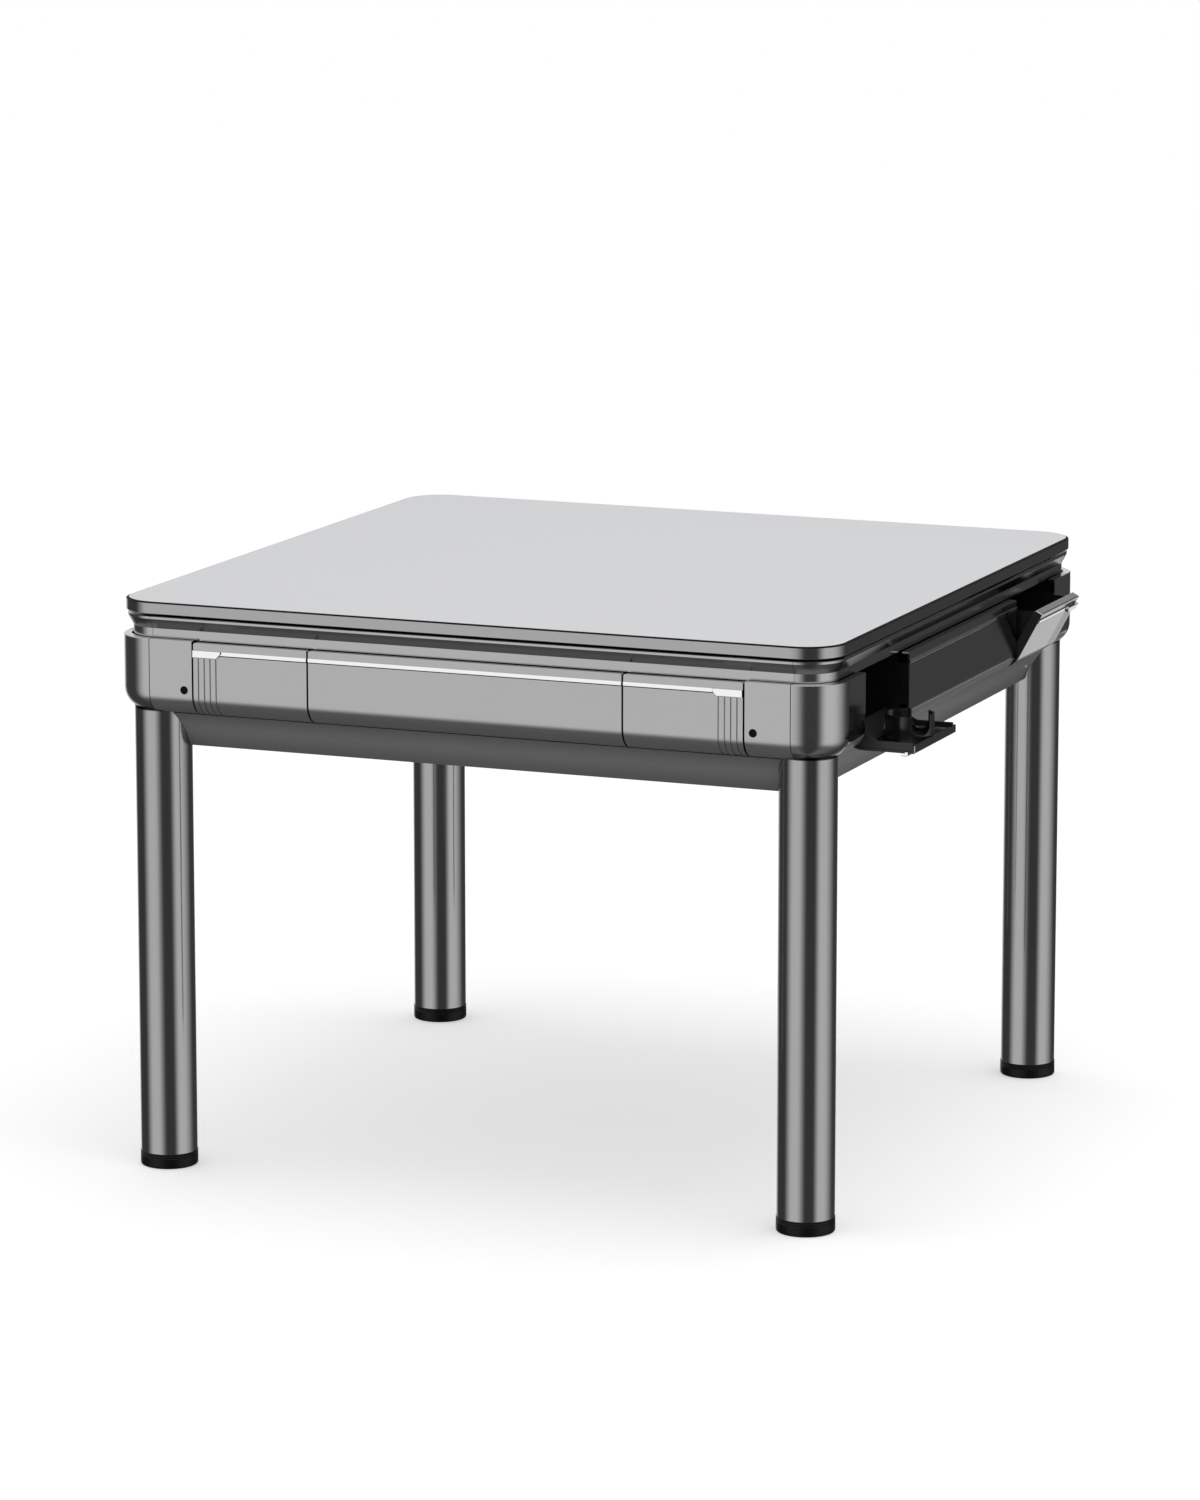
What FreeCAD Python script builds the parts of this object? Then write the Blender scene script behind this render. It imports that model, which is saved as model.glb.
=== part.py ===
"""A square four-player tile table on round legs, with a shuffling machine inside and a lift-off top.

Each of its four sides is the same: a centre drawer between a cup flap and a tray flap.
The front side is modelled once, with x along it and u outwards from the table's centre,
and turned about the vertical axis for the other three. Millimetres, +Z up, and the origin
is on the floor under the table's centre.
"""
import FreeCAD, Part
import math
import os

V = FreeCAD.Vector
UP = V(0, 0, 1)
ALONG = V(1, 0, 0)
INWARDS = V(0, 1, 0)
QUARTER = 90.0

side_names = ("front", "right", "back", "left")
corner_names = ("front_right", "back_right", "back_left", "front_left")
open_side = "right"

# Cover
table_height = 765.0
cover_half = 500.0
cover_corner_r = 55.0
cover_core_thick = 14.0
cover_pad_thick = 5.0
cover_pad_in = 25.0
cover_pad_gap = 5.0
cover_edge_wall = 3.0
cover_edge_drop = 2.0
cover_edge_set_down = 1.0
cover_bevel = 0.6
band_bevel = 0.8

# Upper rim, with its section in u and z
rim_band_in = 2.5
rim_band_height = 4.0
rim_foot_in = 9.5
rim_slope_height = 13.0
rim_skirt_height = 12.5
rim_width = 60.0
rim_rib_in = 30.0
rim_wall = 3.0
rim_edge = 1.0
corner_in = 54.0
seam = 1.0

# Play surface
cloth_below_rim = 11.5
cloth_thick = 1.5
cloth_under_rim = 25.0
board_thick = 11.0
board_to_rim = 1.5

# Casing, drawer and flap fascias, with their section in u and z
face_over_cover = 3.0
face_over_rim = 0.5
face_height = 71.0
face_wall = 3.0
face_lip = 10.0
face_edge = 1.0
bend_r = 29.0
bend_sweep = math.radians(82.0)
panel_gap = 2.5
end_panel_width = 63.0
flap_width = 164.0
fascia_top_drop = 1.5
fascia_corner_r = 2.5

# Screw holes of the end panels and the caps in them
hole_r = 5.5
hole_from_split = 12.5
hole_drop = 65.0
cap_recess = 1.0

# Bright strip, pull tab and flutes
strip_drop = 11.0
strip_height = 3.6
strip_depth = 1.5
strip_proud = 1.0
tab_height = 9.5
tab_length = 40.0
tab_slope = 5.5
tab_proud = 4.0
tab_edge = 0.8
flute_count = 4
flute_pitch = 8.4
flute_first = 7.4
flute_width = 2.0
flute_depth = 1.0

# Legs and feet
leg_r = 37.5
leg_wall = 2.0
leg_in = 52.0
leg_below_rim = 5.5
leg_gap = 0.3
foot_height = 20.0
foot_r = 38.2
foot_edge = 2.0
foot_plug_height = 25.0
foot_plug_wall = 3.0
foot_plug_gap = 0.15

# Lower skirt, with its section in u and z
skirt_gap = 1.0
skirt_height = 47.3
skirt_slope = 29.0
skirt_hollow = 1.4
skirt_wall = 2.0
skirt_top_flange = 13.0
skirt_bottom_flange = 24.0

# Frame
beam_in = 11.0
beam_width = 35.0
beam_wall = 2.5
beam_top_drop = 105.0
tie_in = 132.0
tie_width = 24.0
tie_height = 19.0
deck_thick = 3.0
deck_in = 45.0
socket_gap = 0.2
socket_wall = 2.2
socket_depth = 79.0
socket_cap = 2.5
lug_width = 12.0
lug_drop = 57.0
lug_height = 40.0
lug_gap = 0.1
pan_gap = 0.5

# Hinges of the flaps
pivot_in = 17.0
pivot_drop = 84.0
pin_r = 2.5
pin_running = 0.05
bracket_thick = 3.0
bracket_from_split = 4.5
bracket_eye_r = 6.5
bracket_front_in = 15.0
bracket_seat_drop = 17.0
bracket_seat_height = 44.0
bracket_to_rim = 2.0
ear_thick = 4.0
ear_from_edge = 1.75
ear_eye_r = 7.0
ear_depth = 10.0
ear_drop = 3.5
ear_height = 62.0
ear_neck_rise = 14.0

# Cup flap
cup_open = 90.0
cup_from_pivot = 46.0
cup_r = 33.0
cup_wall = 2.5
cup_floor = 3.0
cup_depth = 34.0
cup_slot_half = 13.0
cup_slot_floor = 6.0
cup_slot_angles = (130.0, 250.0, 10.0)

# Tray flap
tray_open = 28.0
bin_wall = 2.5
bin_r = 72.0
bin_from_split = 11.0
bin_front_drop = 9.0
bin_front_width = 12.0
bin_over_pivot = 10.0
bin_toe = 8.0
bin_toe_rise = 7.0
bin_back_high = math.radians(140.0)
hook_in = 34.0
hook_rise = 65.0
hook_r = 6.0
hook_width = 2.8
hook_foot = 18.0

# Centre drawer
box_in = 8.0
box_wall = 2.0
box_top_drop = 17.0
box_height = 53.8
box_to_lift = 15.0
box_gap = 0.2
runner_height = 3.0
runner_reach = 8.0

# Console in the middle of the play surface
console_r = 95.0
console_gap = 2.0
console_proud = 3.5
console_height = 22.0
console_edge = 3.0
well_r = 48.0
well_depth = 14.0
post_r = 14.0
post_over_floor = 5.0
dome_rise = 6.5
dome_shoulder = 15.0
dome_wall = 1.5
dome_seat = 1.0
dome_gap = 0.15
die_side = 14.0
die_edge = 1.5
die_spread = 14.0
die_turns = (18.0, 61.0)
button_r = 9.0
button_gap = 0.4
button_from_centre = 72.0
button_proud = 1.2
button_height = 6.5
button_travel = 1.5
button_edge = 0.8

# Wall lifts
lift_width = 44.0
lift_thick = 6.0
lift_gap = 2.0
lift_to_next = 16.0
lift_stem_r = 6.0
lift_stem_in = 70.0
lift_stem_length = 78.5
guide_in = 40.0
guide_over_stem = 5.0
guide_height = 16.0
guide_foot = 8.0

# Shuffling machine
tub_to_lift = 36.0
tub_wall = 4.0
tub_floor = 3.0
tub_below_deck = 7.0
tub_lug_half = 20.0
tub_foot_half = 8.0
collar_r = 30.0
collar_height = 5.0
guide_post_r = 22.0
guide_post_drop = 7.0
disc_gap = 6.0
disc_over_floor = 25.0
disc_thick = 5.0
hub_r = 60.0
rib_count = 4
rib_from_hub = 50.0
rib_in = 15.0
rib_width = 10.0
rib_height = 7.0
roller_r = 15.0
roller_over_floor = 3.0
roller_height = 16.0
roller_gap = 0.3
shaft_r = 4.0
shaft_hole_r = 8.0
shaft_depth = 12.0
motor_r = 30.0
motor_height = 36.0
motor_edge = 2.0

# Control box with its mains inlet, under the back drawer
control_half = 95.0
control_in = 40.0
control_depth = 75.0
control_below_drawer = 12.2
control_edge = 3.0
inlet_half_x = 14.0
inlet_half_u = 10.0
inlet_depth = 16.0
inlet_rim = 3.0
inlet_pin_half = 1.2
inlet_pin_length = 10.0
inlet_pin_pitch = 7.0
inlet_pin_step = 3.5

# Places of the cover, the rim and the play surface
cover_pad_half = cover_half - cover_pad_in
cover_pad_corner_r = cover_corner_r - cover_pad_in
corner_centre = cover_half - corner_in
core_bottom_z = table_height - cover_core_thick
rim_top_z = core_bottom_z - cover_pad_thick
rim_band_z = rim_top_z - rim_band_height
rim_slope_z = rim_band_z - rim_slope_height
rim_bottom_z = rim_slope_z - rim_skirt_height
rim_band_u = cover_half - rim_band_in
rim_foot_u = cover_half - rim_foot_in
rim_inner_u = cover_half - rim_width
rim_rib_u = cover_half - rim_rib_in
cloth_half = rim_inner_u + cloth_under_rim
cloth_top_z = rim_top_z - cloth_below_rim
board_top_z = cloth_top_z - cloth_thick
board_bottom_z = board_top_z - board_thick
board_half = rim_foot_u - rim_wall - board_to_rim
board_corner_r = board_half - corner_centre
deck_bottom_z = board_bottom_z - deck_thick

# Places of the fascias, the strip, the legs and the skirt
face_u = cover_half + face_over_cover
face_top_z = rim_bottom_z + face_over_rim
bend_u = face_u - bend_r
bend_z = face_top_z - face_height
side_split = corner_centre - end_panel_width
centre_split = side_split - flap_width
fascia_top_z = face_top_z - fascia_top_drop
hole_z = face_top_z - hole_drop
strip_top_z = face_top_z - strip_drop
leg_centre = face_u - leg_in
leg_top_z = rim_bottom_z - leg_below_rim
skirt_top_u = bend_u + bend_r * math.cos(bend_sweep)
skirt_top_z = bend_z - bend_r * math.sin(bend_sweep) - skirt_gap
skirt_bottom_u = skirt_top_u - skirt_slope
skirt_bottom_z = skirt_top_z - skirt_height

# Places of the frame
beam_outer_u = leg_centre - beam_in
beam_inner_u = beam_outer_u - beam_width
beam_top_z = face_top_z - beam_top_drop
frame_bottom_z = skirt_bottom_z + skirt_wall
deck_inner_u = beam_outer_u - deck_in
tie_centre = beam_outer_u - tie_in
tie_top_z = frame_bottom_z + tie_height
socket_r = leg_r + socket_gap
socket_bottom_z = leg_top_z - socket_depth
lug_top_z = face_top_z - lug_drop + lug_height
lug_bottom_z = face_top_z - lug_drop

# Places of the hinges, the flaps and the drawer
pivot_u = face_u - pivot_in
pivot_z = face_top_z - pivot_drop
bracket_front_u = face_u - bracket_front_in
bracket_seat_high_z = face_top_z - bracket_seat_drop
bracket_seat_low_z = bracket_seat_high_z - bracket_seat_height
ear_top_z = fascia_top_z - ear_drop
ear_foot_z = ear_top_z - ear_height
ear_neck_z = ear_foot_z + ear_neck_rise
cup_from_middle = (centre_split + side_split) / 2
bin_front_top_z = face_top_z - bin_front_drop
bin_floor_z = pivot_z + bin_over_pivot
bin_toe_z = bin_floor_z + bin_toe_rise
box_half = centre_split - box_in
box_back_u = tie_centre + lift_width / 2 + box_to_lift
box_top_z = face_top_z - box_top_drop
box_bottom_z = box_top_z - box_height

# Places of the lifts, the shuffling machine, the console and the control box
lift_half = tie_centre - lift_width / 2 - lift_to_next
lift_bottom_z = cloth_top_z - lift_thick
lift_stem_place = lift_half - lift_stem_in
lift_stem_bottom_z = lift_bottom_z - lift_stem_length
guide_half = lift_half - guide_in
guide_bottom_z = lift_stem_bottom_z + guide_over_stem
tub_r = tie_centre - lift_width / 2 - tub_to_lift
tub_top_z = deck_bottom_z - tub_below_deck
tub_bottom_z = beam_top_z
tub_floor_z = tub_bottom_z + tub_floor
guide_post_top_z = tub_top_z - guide_post_drop
disc_r = tub_r - tub_wall - disc_gap
disc_z = tub_floor_z + disc_over_floor
rib_inner_r = hub_r + rib_from_hub
rib_outer_r = disc_r - rib_in
roller_bottom_z = tub_floor_z + roller_over_floor
post_hole_r = post_r + pin_running
post_bottom_z = tub_floor_z + post_over_floor
console_top_z = cloth_top_z + console_proud
console_bottom_z = console_top_z - console_height
well_floor_z = console_top_z - well_depth
control_front_u = beam_outer_u - control_in
control_back_u = control_front_u - control_depth
control_top_z = box_bottom_z - control_below_drawer
overrun = 10.0


def at(u, z, x=0.0):
    """A point of the front side: u outwards from the centre, z up, x along the side."""
    return V(x, -u, z)


def polar(u, z, r, angle):
    """A point at a distance and angle from (u, z); zero is outwards and a quarter turn is up."""
    return (u + r * math.cos(angle), z + r * math.sin(angle))


def outline(start, *steps):
    """A face in the front side's section plane: a step is a point, or two points for an arc."""
    edges, here = [], at(*start)
    for step in steps:
        if isinstance(step[0], tuple):
            end = at(*step[1])
            edges.append(Part.Arc(here, at(*step[0]), end).toShape())
        else:
            end = at(*step)
            edges.append(Part.makeLine(here, end))
        here = end
    edges.append(Part.makeLine(here, at(*start)))
    return Part.Face(Part.Wire(edges))


def run(face, x0, x1):
    """Carry a section along the side from x0 to x1."""
    start = face.copy()
    start.translate(V(x0, 0, 0))
    return start.extrude(V(x1 - x0, 0, 0))


def box(x0, x1, u0, u1, z0, z1):
    """A block of the front side."""
    return Part.makeBox(x1 - x0, u1 - u0, z1 - z0, at(u1, z0, x0))


def rod(r, z0, z1, x=0.0, u=0.0):
    """An upright round bar."""
    return Part.makeCylinder(r, z1 - z0, at(u, z0, x))


def lathe(points):
    """Turn an outline of (radius, z) points about the table's centre line."""
    face = outline(*points)
    return face.revolve(V(0, 0, 0), UP, 4 * QUARTER)


def slab(half, r, z0, z1):
    """A square plate about the centre with rounded corners."""
    plate = box(-half, half, -half, half, z0, z1)
    return plate.makeFillet(r, [e for e in plate.Edges if abs(e.tangentAt(0).z) > 0.5])


def top_edges(shape, z):
    """The edges that lie at a height."""
    return [e for e in shape.Edges if abs(e.BoundBox.ZMin - z) + abs(e.BoundBox.ZMax - z) < face_edge / 100]


def mirrored(shape):
    """The same piece on the other half of its side."""
    return shape.mirror(V(0, 0, 0), ALONG)


def turned(shape, side):
    """The front side's piece, carried round to side 0 to 3."""
    piece = shape.copy()
    piece.rotate(V(0, 0, 0), UP, QUARTER * side)
    return piece


def tilted(shape, angle):
    """A flap's piece, swung outwards about the hinge line."""
    piece = shape.copy()
    piece.rotate(at(pivot_u, pivot_z), ALONG, angle)
    return piece


def all_round(shape):
    """The piece of every side, as separate solids."""
    return [turned(shape, side) for side in range(len(side_names))]


def solids(pieces):
    """Every solid of a list of pieces, kept apart."""
    return Part.makeCompound([s for piece in pieces for s in piece.Solids])


def leg_space(gap):
    """The round space that the front right leg takes, with a gap about it."""
    return rod(leg_r + gap, 0, table_height, leg_centre, leg_centre)


def both_leg_spaces(gap):
    """The leg spaces at both ends of a side."""
    space = leg_space(gap)
    return [space, mirrored(space)]


def fascia_section(top_z, wall, lip):
    """The wrapped section of a fascia: lip, upright face and the bend under it."""
    def bend(r, angle):
        return polar(bend_u, bend_z, r, -angle)
    inner_r = bend_r - wall
    return outline(
        (face_u - face_edge, top_z), (face_u, top_z - face_edge), (face_u, bend_z),
        (bend(bend_r, bend_sweep / 2), bend(bend_r, bend_sweep)), bend(inner_r, bend_sweep),
        (bend(inner_r, bend_sweep / 2), (face_u - wall, bend_z)),
        (face_u - wall, top_z - wall), (face_u - lip, top_z - wall), (face_u - lip, top_z))


def fascia(x0, x1):
    """A drawer or flap front with its top corners rounded."""
    shell = run(fascia_section(fascia_top_z, face_wall, face_lip), x0, x1)
    ends = [e for e in top_edges(shell, fascia_top_z) if abs(e.tangentAt(0).x) < 0.5]
    shell = shell.makeFillet(fascia_corner_r, ends)
    return shell.cut(strip_space(x0, x1))


def strip_space(x0, x1):
    """The groove that the bright strip lies in."""
    return box(x0, x1, face_u - strip_depth, face_u + overrun, strip_top_z - strip_height, strip_top_z)


def strip(x0, x1):
    """The bright strip, with a rounded nose."""
    low_z, back_u = strip_top_z - strip_height, face_u - strip_depth
    nose = outline((back_u, low_z), (face_u, low_z),
                   ((face_u + strip_proud, low_z + strip_height / 2), (face_u, strip_top_z)),
                   (back_u, strip_top_z))
    return run(nose, x0, x1)


def tab(end_x):
    """The pull tab at a flap's outer end, sloped at its inner end."""
    low_z, strip_low_z = strip_top_z - tab_height, strip_top_z - strip_height
    inner_x = end_x - tab_length
    corners = [(end_x, low_z), (end_x, strip_top_z), (inner_x, strip_top_z),
               (inner_x, strip_low_z), (inner_x + tab_slope, low_z)]
    wire = Part.makePolygon([at(face_u, z, x) for x, z in corners + corners[:1]])
    block = Part.Face(wire).extrude(V(0, -tab_proud, 0))
    front = [e for e in block.Edges if abs(e.BoundBox.YMax + face_u + tab_proud) < face_edge / 100]
    return block.makeChamfer(tab_edge, front)


def flutes(end_x):
    """The grooves under the pull tab, which follow the face and its bend."""
    outer = fascia_section(strip_top_z - tab_height, face_wall, face_lip)
    band = outer.cut(fascia_section_core())
    places = [end_x - flute_first - flute_pitch * i for i in range(flute_count)]
    return [run(band, x - flute_width / 2, x + flute_width / 2) for x in places]


def fascia_section_core():
    """What lies deeper in the fascia than the flutes reach."""
    def bend(angle):
        return polar(bend_u, bend_z, bend_r - flute_depth, -angle)
    return outline((face_u - flute_depth, table_height), (face_u - flute_depth, bend_z),
                   (bend(bend_sweep / 2), bend(bend_sweep)),
                   polar(bend_u, bend_z, bend_r / 2, -bend_sweep), (bend_u, bend_z),
                   (bend_u, table_height))


def flap_front():
    """The tray flap's front, at rest in its closed place: shell, strip with tab, flutes and ears."""
    x0, x1 = centre_split + panel_gap / 2, side_split - panel_gap / 2
    shell = fascia(x0, x1)
    for groove in flutes(x1):
        shell = shell.cut(groove)
    for ear_x in (x0 + ear_from_edge, x1 - ear_from_edge - ear_thick):
        shell = shell.fuse(run(ear_section(), ear_x, ear_x + ear_thick))
    hole = Part.makeCylinder(pin_r + pin_running, x1 - x0, at(pivot_u, pivot_z, x0), ALONG)
    bright = strip(x0, x1).fuse(tab(x1)).removeSplitter()
    return [shell.cut(hole).removeSplitter(), bright]


def ear_section():
    """A flap's hinge ear: an eye about the pin, and an arm up the back of the front."""
    front_u, back_u = face_u - face_wall, face_u - face_wall - ear_depth
    return outline((front_u, ear_foot_z), (front_u, ear_top_z), (back_u, ear_top_z), (back_u, ear_neck_z),
                   (pivot_u - ear_eye_r, pivot_z + ear_eye_r), (pivot_u - ear_eye_r, pivot_z),
                   ((pivot_u, pivot_z - ear_eye_r), (pivot_u + ear_eye_r, pivot_z)))


def cup_cradle():
    """The cup holder in its closed place, with three round-bottomed slots in its wall."""
    back_u, x = face_u - face_wall, -cup_from_middle
    centre_z = pivot_z + cup_from_pivot
    cup = Part.makeCylinder(cup_r, cup_depth, at(back_u, centre_z, x), INWARDS)
    bore_start = at(back_u - cup_floor, centre_z, x)
    cup = cup.cut(Part.makeCylinder(cup_r - cup_wall, cup_depth, bore_start, INWARDS))
    slot_u = back_u - cup_floor - cup_slot_floor - cup_slot_half
    for angle in cup_slot_angles:
        round_end = Part.makeCylinder(cup_slot_half, cup_r + overrun, at(slot_u, centre_z, x), ALONG)
        mouth = Part.makeBox(cup_r + overrun, cup_depth, 2 * cup_slot_half,
                             at(slot_u, centre_z - cup_slot_half, x))
        slot = round_end.fuse(mouth)
        slot.rotate(at(slot_u, centre_z, x), INWARDS, -angle)
        cup = cup.cut(slot)
    return cup.removeSplitter()


def bin_back(r, angle):
    """A point of the bin's rounded back, which is centred on the hinge line."""
    return polar(pivot_u, pivot_z, r, angle)


def tray_bin():
    """The tray flap's bin in its closed place: open at the top, its back round about the hinge line."""
    front_u = face_u - face_wall
    x0, x1 = centre_split + bin_from_split, side_split - bin_from_split
    inner_r, floor_z = bin_r - bin_wall, bin_floor_z + bin_wall
    low = math.pi - math.asin((bin_floor_z - pivot_z) / bin_r)
    inner_low = math.pi - math.asin((floor_z - pivot_z) / inner_r)
    body = run(outline(
        (front_u, bin_toe_z), (front_u, bin_front_top_z), (front_u - bin_front_width, bin_front_top_z),
        bin_back(bin_r, bin_back_high),
        (bin_back(bin_r, (bin_back_high + low) / 2), bin_back(bin_r, low)),
        (front_u - bin_toe, bin_floor_z)), x0, x1)
    inner_front_u, inner_back = front_u - bin_wall, bin_back(inner_r, bin_back_high)
    hollow = run(outline(
        (inner_front_u, bin_toe_z + bin_wall), (inner_front_u, table_height),
        (inner_back[0], table_height), inner_back,
        (bin_back(inner_r, (bin_back_high + inner_low) / 2), bin_back(inner_r, inner_low)),
        (inner_front_u - bin_toe, floor_z)), x0 + bin_wall, x1 - bin_wall)
    return body.cut(hollow).fuse(run(hook_section(), x0, x0 + bin_wall)).removeSplitter()


def hook_section():
    """The stay hook on a cheek of the bin, whose curl opens towards the front."""
    middle_u, middle_z = pivot_u - hook_in, pivot_z + hook_rise
    inner_r = hook_r - hook_width
    return outline(
        (middle_u - hook_r, middle_z - hook_foot), (middle_u - hook_r, middle_z),
        ((middle_u, middle_z + hook_r), (middle_u + hook_r, middle_z)), (middle_u + inner_r, middle_z),
        ((middle_u, middle_z + inner_r), (middle_u - inner_r, middle_z)),
        (middle_u - inner_r, middle_z - hook_foot))


def drawer_front():
    """The centre drawer's front and its bright strip."""
    half = centre_split - panel_gap / 2
    return [fascia(-half, half), strip(-half, half)]


def drawer_box():
    """The open box behind the centre drawer's front."""
    front_u = face_u - face_wall
    outer = box(-box_half, box_half, box_back_u, front_u, box_bottom_z, box_top_z)
    inner_half = box_half - box_wall
    hollow = box(-inner_half, inner_half, box_back_u + box_wall, front_u - box_wall,
                 box_bottom_z + box_wall, box_top_z + overrun)
    return outer.cut(hollow)


def end_panel():
    """The fixed panel between the tray flap and the corner, with its screw hole."""
    x0, x1 = side_split + panel_gap / 2, corner_centre - seam
    shell = run(fascia_section(face_top_z, face_wall, face_lip), x0, x1)
    hole = screw_bore(hole_r, face_u - 2 * face_wall, face_u + overrun)
    return shell.cut(hole).cut(leg_space(leg_gap))


def screw_bore(r, u0, u1):
    """A round bar on the screw hole's axis."""
    return Part.makeCylinder(r, u1 - u0, at(u1, hole_z, side_split + hole_from_split), INWARDS)


def screw_cap():
    """The dark cap in a screw hole, with a flange behind the panel."""
    plug = screw_bore(hole_r, face_u - face_wall, face_u - cap_recess)
    flange = screw_bore(hole_r + cap_recess, face_u - face_wall - cap_recess, face_u - face_wall)
    return plug.fuse(flange).removeSplitter()


def corner_casing():
    """The front right corner's shell: the fascia's section swept round, with the leg through it."""
    section = fascia_section(face_top_z, face_wall, face_lip)
    section.translate(V(corner_centre, 0, 0))
    shell = section.revolve(V(corner_centre, -corner_centre, 0), UP, QUARTER)
    return shell.cut(leg_space(leg_gap))


def rim_section():
    """The rim: a top skin, an outer wall that steps in, a rib on the board and a lip on the cloth."""
    skin_z = rim_top_z - rim_wall
    return outline(
        (rim_inner_u + rim_edge, rim_top_z), (rim_band_u - rim_edge, rim_top_z),
        (rim_band_u, rim_top_z - rim_edge), (rim_band_u, rim_band_z), (rim_foot_u, rim_slope_z),
        (rim_foot_u, rim_bottom_z), (rim_foot_u - rim_wall, rim_bottom_z),
        (rim_foot_u - rim_wall, rim_slope_z + rim_wall / 2), (rim_band_u - 2 * rim_wall, skin_z),
        (rim_rib_u + rim_wall, skin_z), (rim_rib_u + rim_wall, board_top_z),
        (rim_rib_u, board_top_z), (rim_rib_u, skin_z), (rim_inner_u + rim_wall, skin_z),
        (rim_inner_u + rim_wall, cloth_top_z), (rim_inner_u, cloth_top_z),
        (rim_inner_u, rim_top_z - rim_edge))


def rim_rail():
    """One side's rim rail, mitred where its inner edge meets its neighbours'."""
    end = corner_centre - seam / 2
    far = table_height
    wedge = Part.Face(Part.makePolygon([at(0, 0), at(far, 0, far), at(far, 0, -far), at(0, 0)]))
    return run(rim_section(), -end, end).common(wedge.extrude(V(0, 0, far)))


def rim_corner():
    """The front right rim corner, swept round the same centre as the casing's corner."""
    section = rim_section().cut(outline((0, 0), (corner_centre, 0), (corner_centre, table_height),
                                        (0, table_height)))
    section.translate(V(corner_centre, 0, 0))
    return section.revolve(V(corner_centre, -corner_centre, 0), UP, QUARTER)


def cover_panel():
    """The lift-off top: a wide sheet, and a smaller pad under it that rests on the rim."""
    half = cover_half - cover_edge_wall
    sheet = slab(half, cover_corner_r - cover_edge_wall, core_bottom_z, table_height)
    sheet = sheet.makeChamfer(cover_bevel, top_edges(sheet, table_height))
    return sheet.fuse(slab(cover_pad_half, cover_pad_corner_r, rim_top_z, core_bottom_z))


def cover_edge():
    """The band round the cover, with a flange under the sheet."""
    bottom_z = core_bottom_z - cover_edge_drop
    inner = cover_half - cover_edge_wall
    band = slab(cover_half, cover_corner_r, bottom_z, table_height - cover_edge_set_down)
    rims = top_edges(band, bottom_z) + top_edges(band, table_height - cover_edge_set_down)
    band = band.makeChamfer(band_bevel, rims)
    band = band.cut(slab(inner, cover_corner_r - cover_edge_wall, core_bottom_z, table_height))
    return band.cut(slab(cover_pad_half + cover_pad_gap, cover_pad_corner_r, rim_top_z, core_bottom_z))


def lift_slot(gap, z0, z1):
    """The long space of a wall lift, with a gap about it."""
    half_width = lift_width / 2 + gap
    return box(-lift_half - gap, lift_half + gap, tie_centre - half_width, tie_centre + half_width, z0, z1)


def with_openings(plate):
    """Cut the four lift slots and the console's hole through a plate of the play surface."""
    for slot in all_round(lift_slot(lift_gap, 0, table_height)):
        plate = plate.cut(slot)
    return plate.cut(rod(console_r + console_gap, 0, table_height))


def skirt():
    """The curved skirt under a side, from leg to leg, with a flange at its top and bottom."""
    middle = ((skirt_top_u + skirt_bottom_u) / 2 - skirt_hollow, (skirt_top_z + skirt_bottom_z) / 2)
    under_z, over_z = skirt_top_z - skirt_wall, skirt_bottom_z + skirt_wall
    inner_top = (skirt_top_u - skirt_wall * 1.6, under_z)
    inner_middle = (middle[0] - skirt_wall * 1.15, middle[1])
    inner_bottom = (skirt_bottom_u - skirt_wall / 2, over_z)
    section = outline(
        (skirt_top_u - skirt_top_flange, skirt_top_z), (skirt_top_u, skirt_top_z),
        (middle, (skirt_bottom_u, skirt_bottom_z)),
        (skirt_bottom_u - skirt_bottom_flange, skirt_bottom_z),
        (skirt_bottom_u - skirt_bottom_flange, over_z), inner_bottom, (inner_middle, inner_top),
        (skirt_top_u - skirt_top_flange, under_z))
    sheet = run(section, -leg_centre, leg_centre)
    for space in both_leg_spaces(leg_gap):
        sheet = sheet.cut(space)
    return max(sheet.Solids, key=lambda s: s.Volume)


def leg():
    """The front right leg, a round tube."""
    tube = rod(leg_r, foot_height, leg_top_z, leg_centre, leg_centre)
    return tube.cut(rod(leg_r - leg_wall, 0, table_height, leg_centre, leg_centre))


def foot_cap():
    """The front right foot: a sole under the tube and a hollow plug up inside it."""
    sole = rod(foot_r, 0, foot_height, leg_centre, leg_centre)
    sole = sole.makeChamfer(foot_edge, top_edges(sole, 0))
    plug_r = leg_r - leg_wall - foot_plug_gap
    plug_top_z = foot_height + foot_plug_height
    plug = rod(plug_r, foot_height, plug_top_z, leg_centre, leg_centre)
    plug = plug.cut(rod(plug_r - foot_plug_wall, foot_height, plug_top_z, leg_centre, leg_centre))
    return sole.fuse(plug)


def beam():
    """A side's main beam, a square tube from corner bracket to corner bracket."""
    tube = box(-beam_inner_u, beam_inner_u, beam_inner_u, beam_outer_u, frame_bottom_z, beam_top_z)
    bore = box(-beam_inner_u, beam_inner_u, beam_inner_u + beam_wall, beam_outer_u - beam_wall,
               frame_bottom_z + beam_wall, beam_top_z - beam_wall)
    return tube.cut(bore)


def tie(end):
    """An inner beam that carries the machine."""
    half = tie_width / 2
    return box(-end, end, tie_centre - half, tie_centre + half, frame_bottom_z, tie_top_z)


def ties():
    """Two long inner beams from beam to beam, and two short ones between them."""
    short_end = tie_centre - tie_width / 2
    ends = (beam_inner_u, short_end, beam_inner_u, short_end)
    return [turned(tie(end), side) for side, end in enumerate(ends)]


def tub_post():
    """The post on an inner beam that a lug of the tub rests on."""
    return box(-tub_foot_half, tub_foot_half, tie_centre - tub_foot_half, tie_centre + tub_foot_half,
               tie_top_z, tub_bottom_z)


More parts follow.
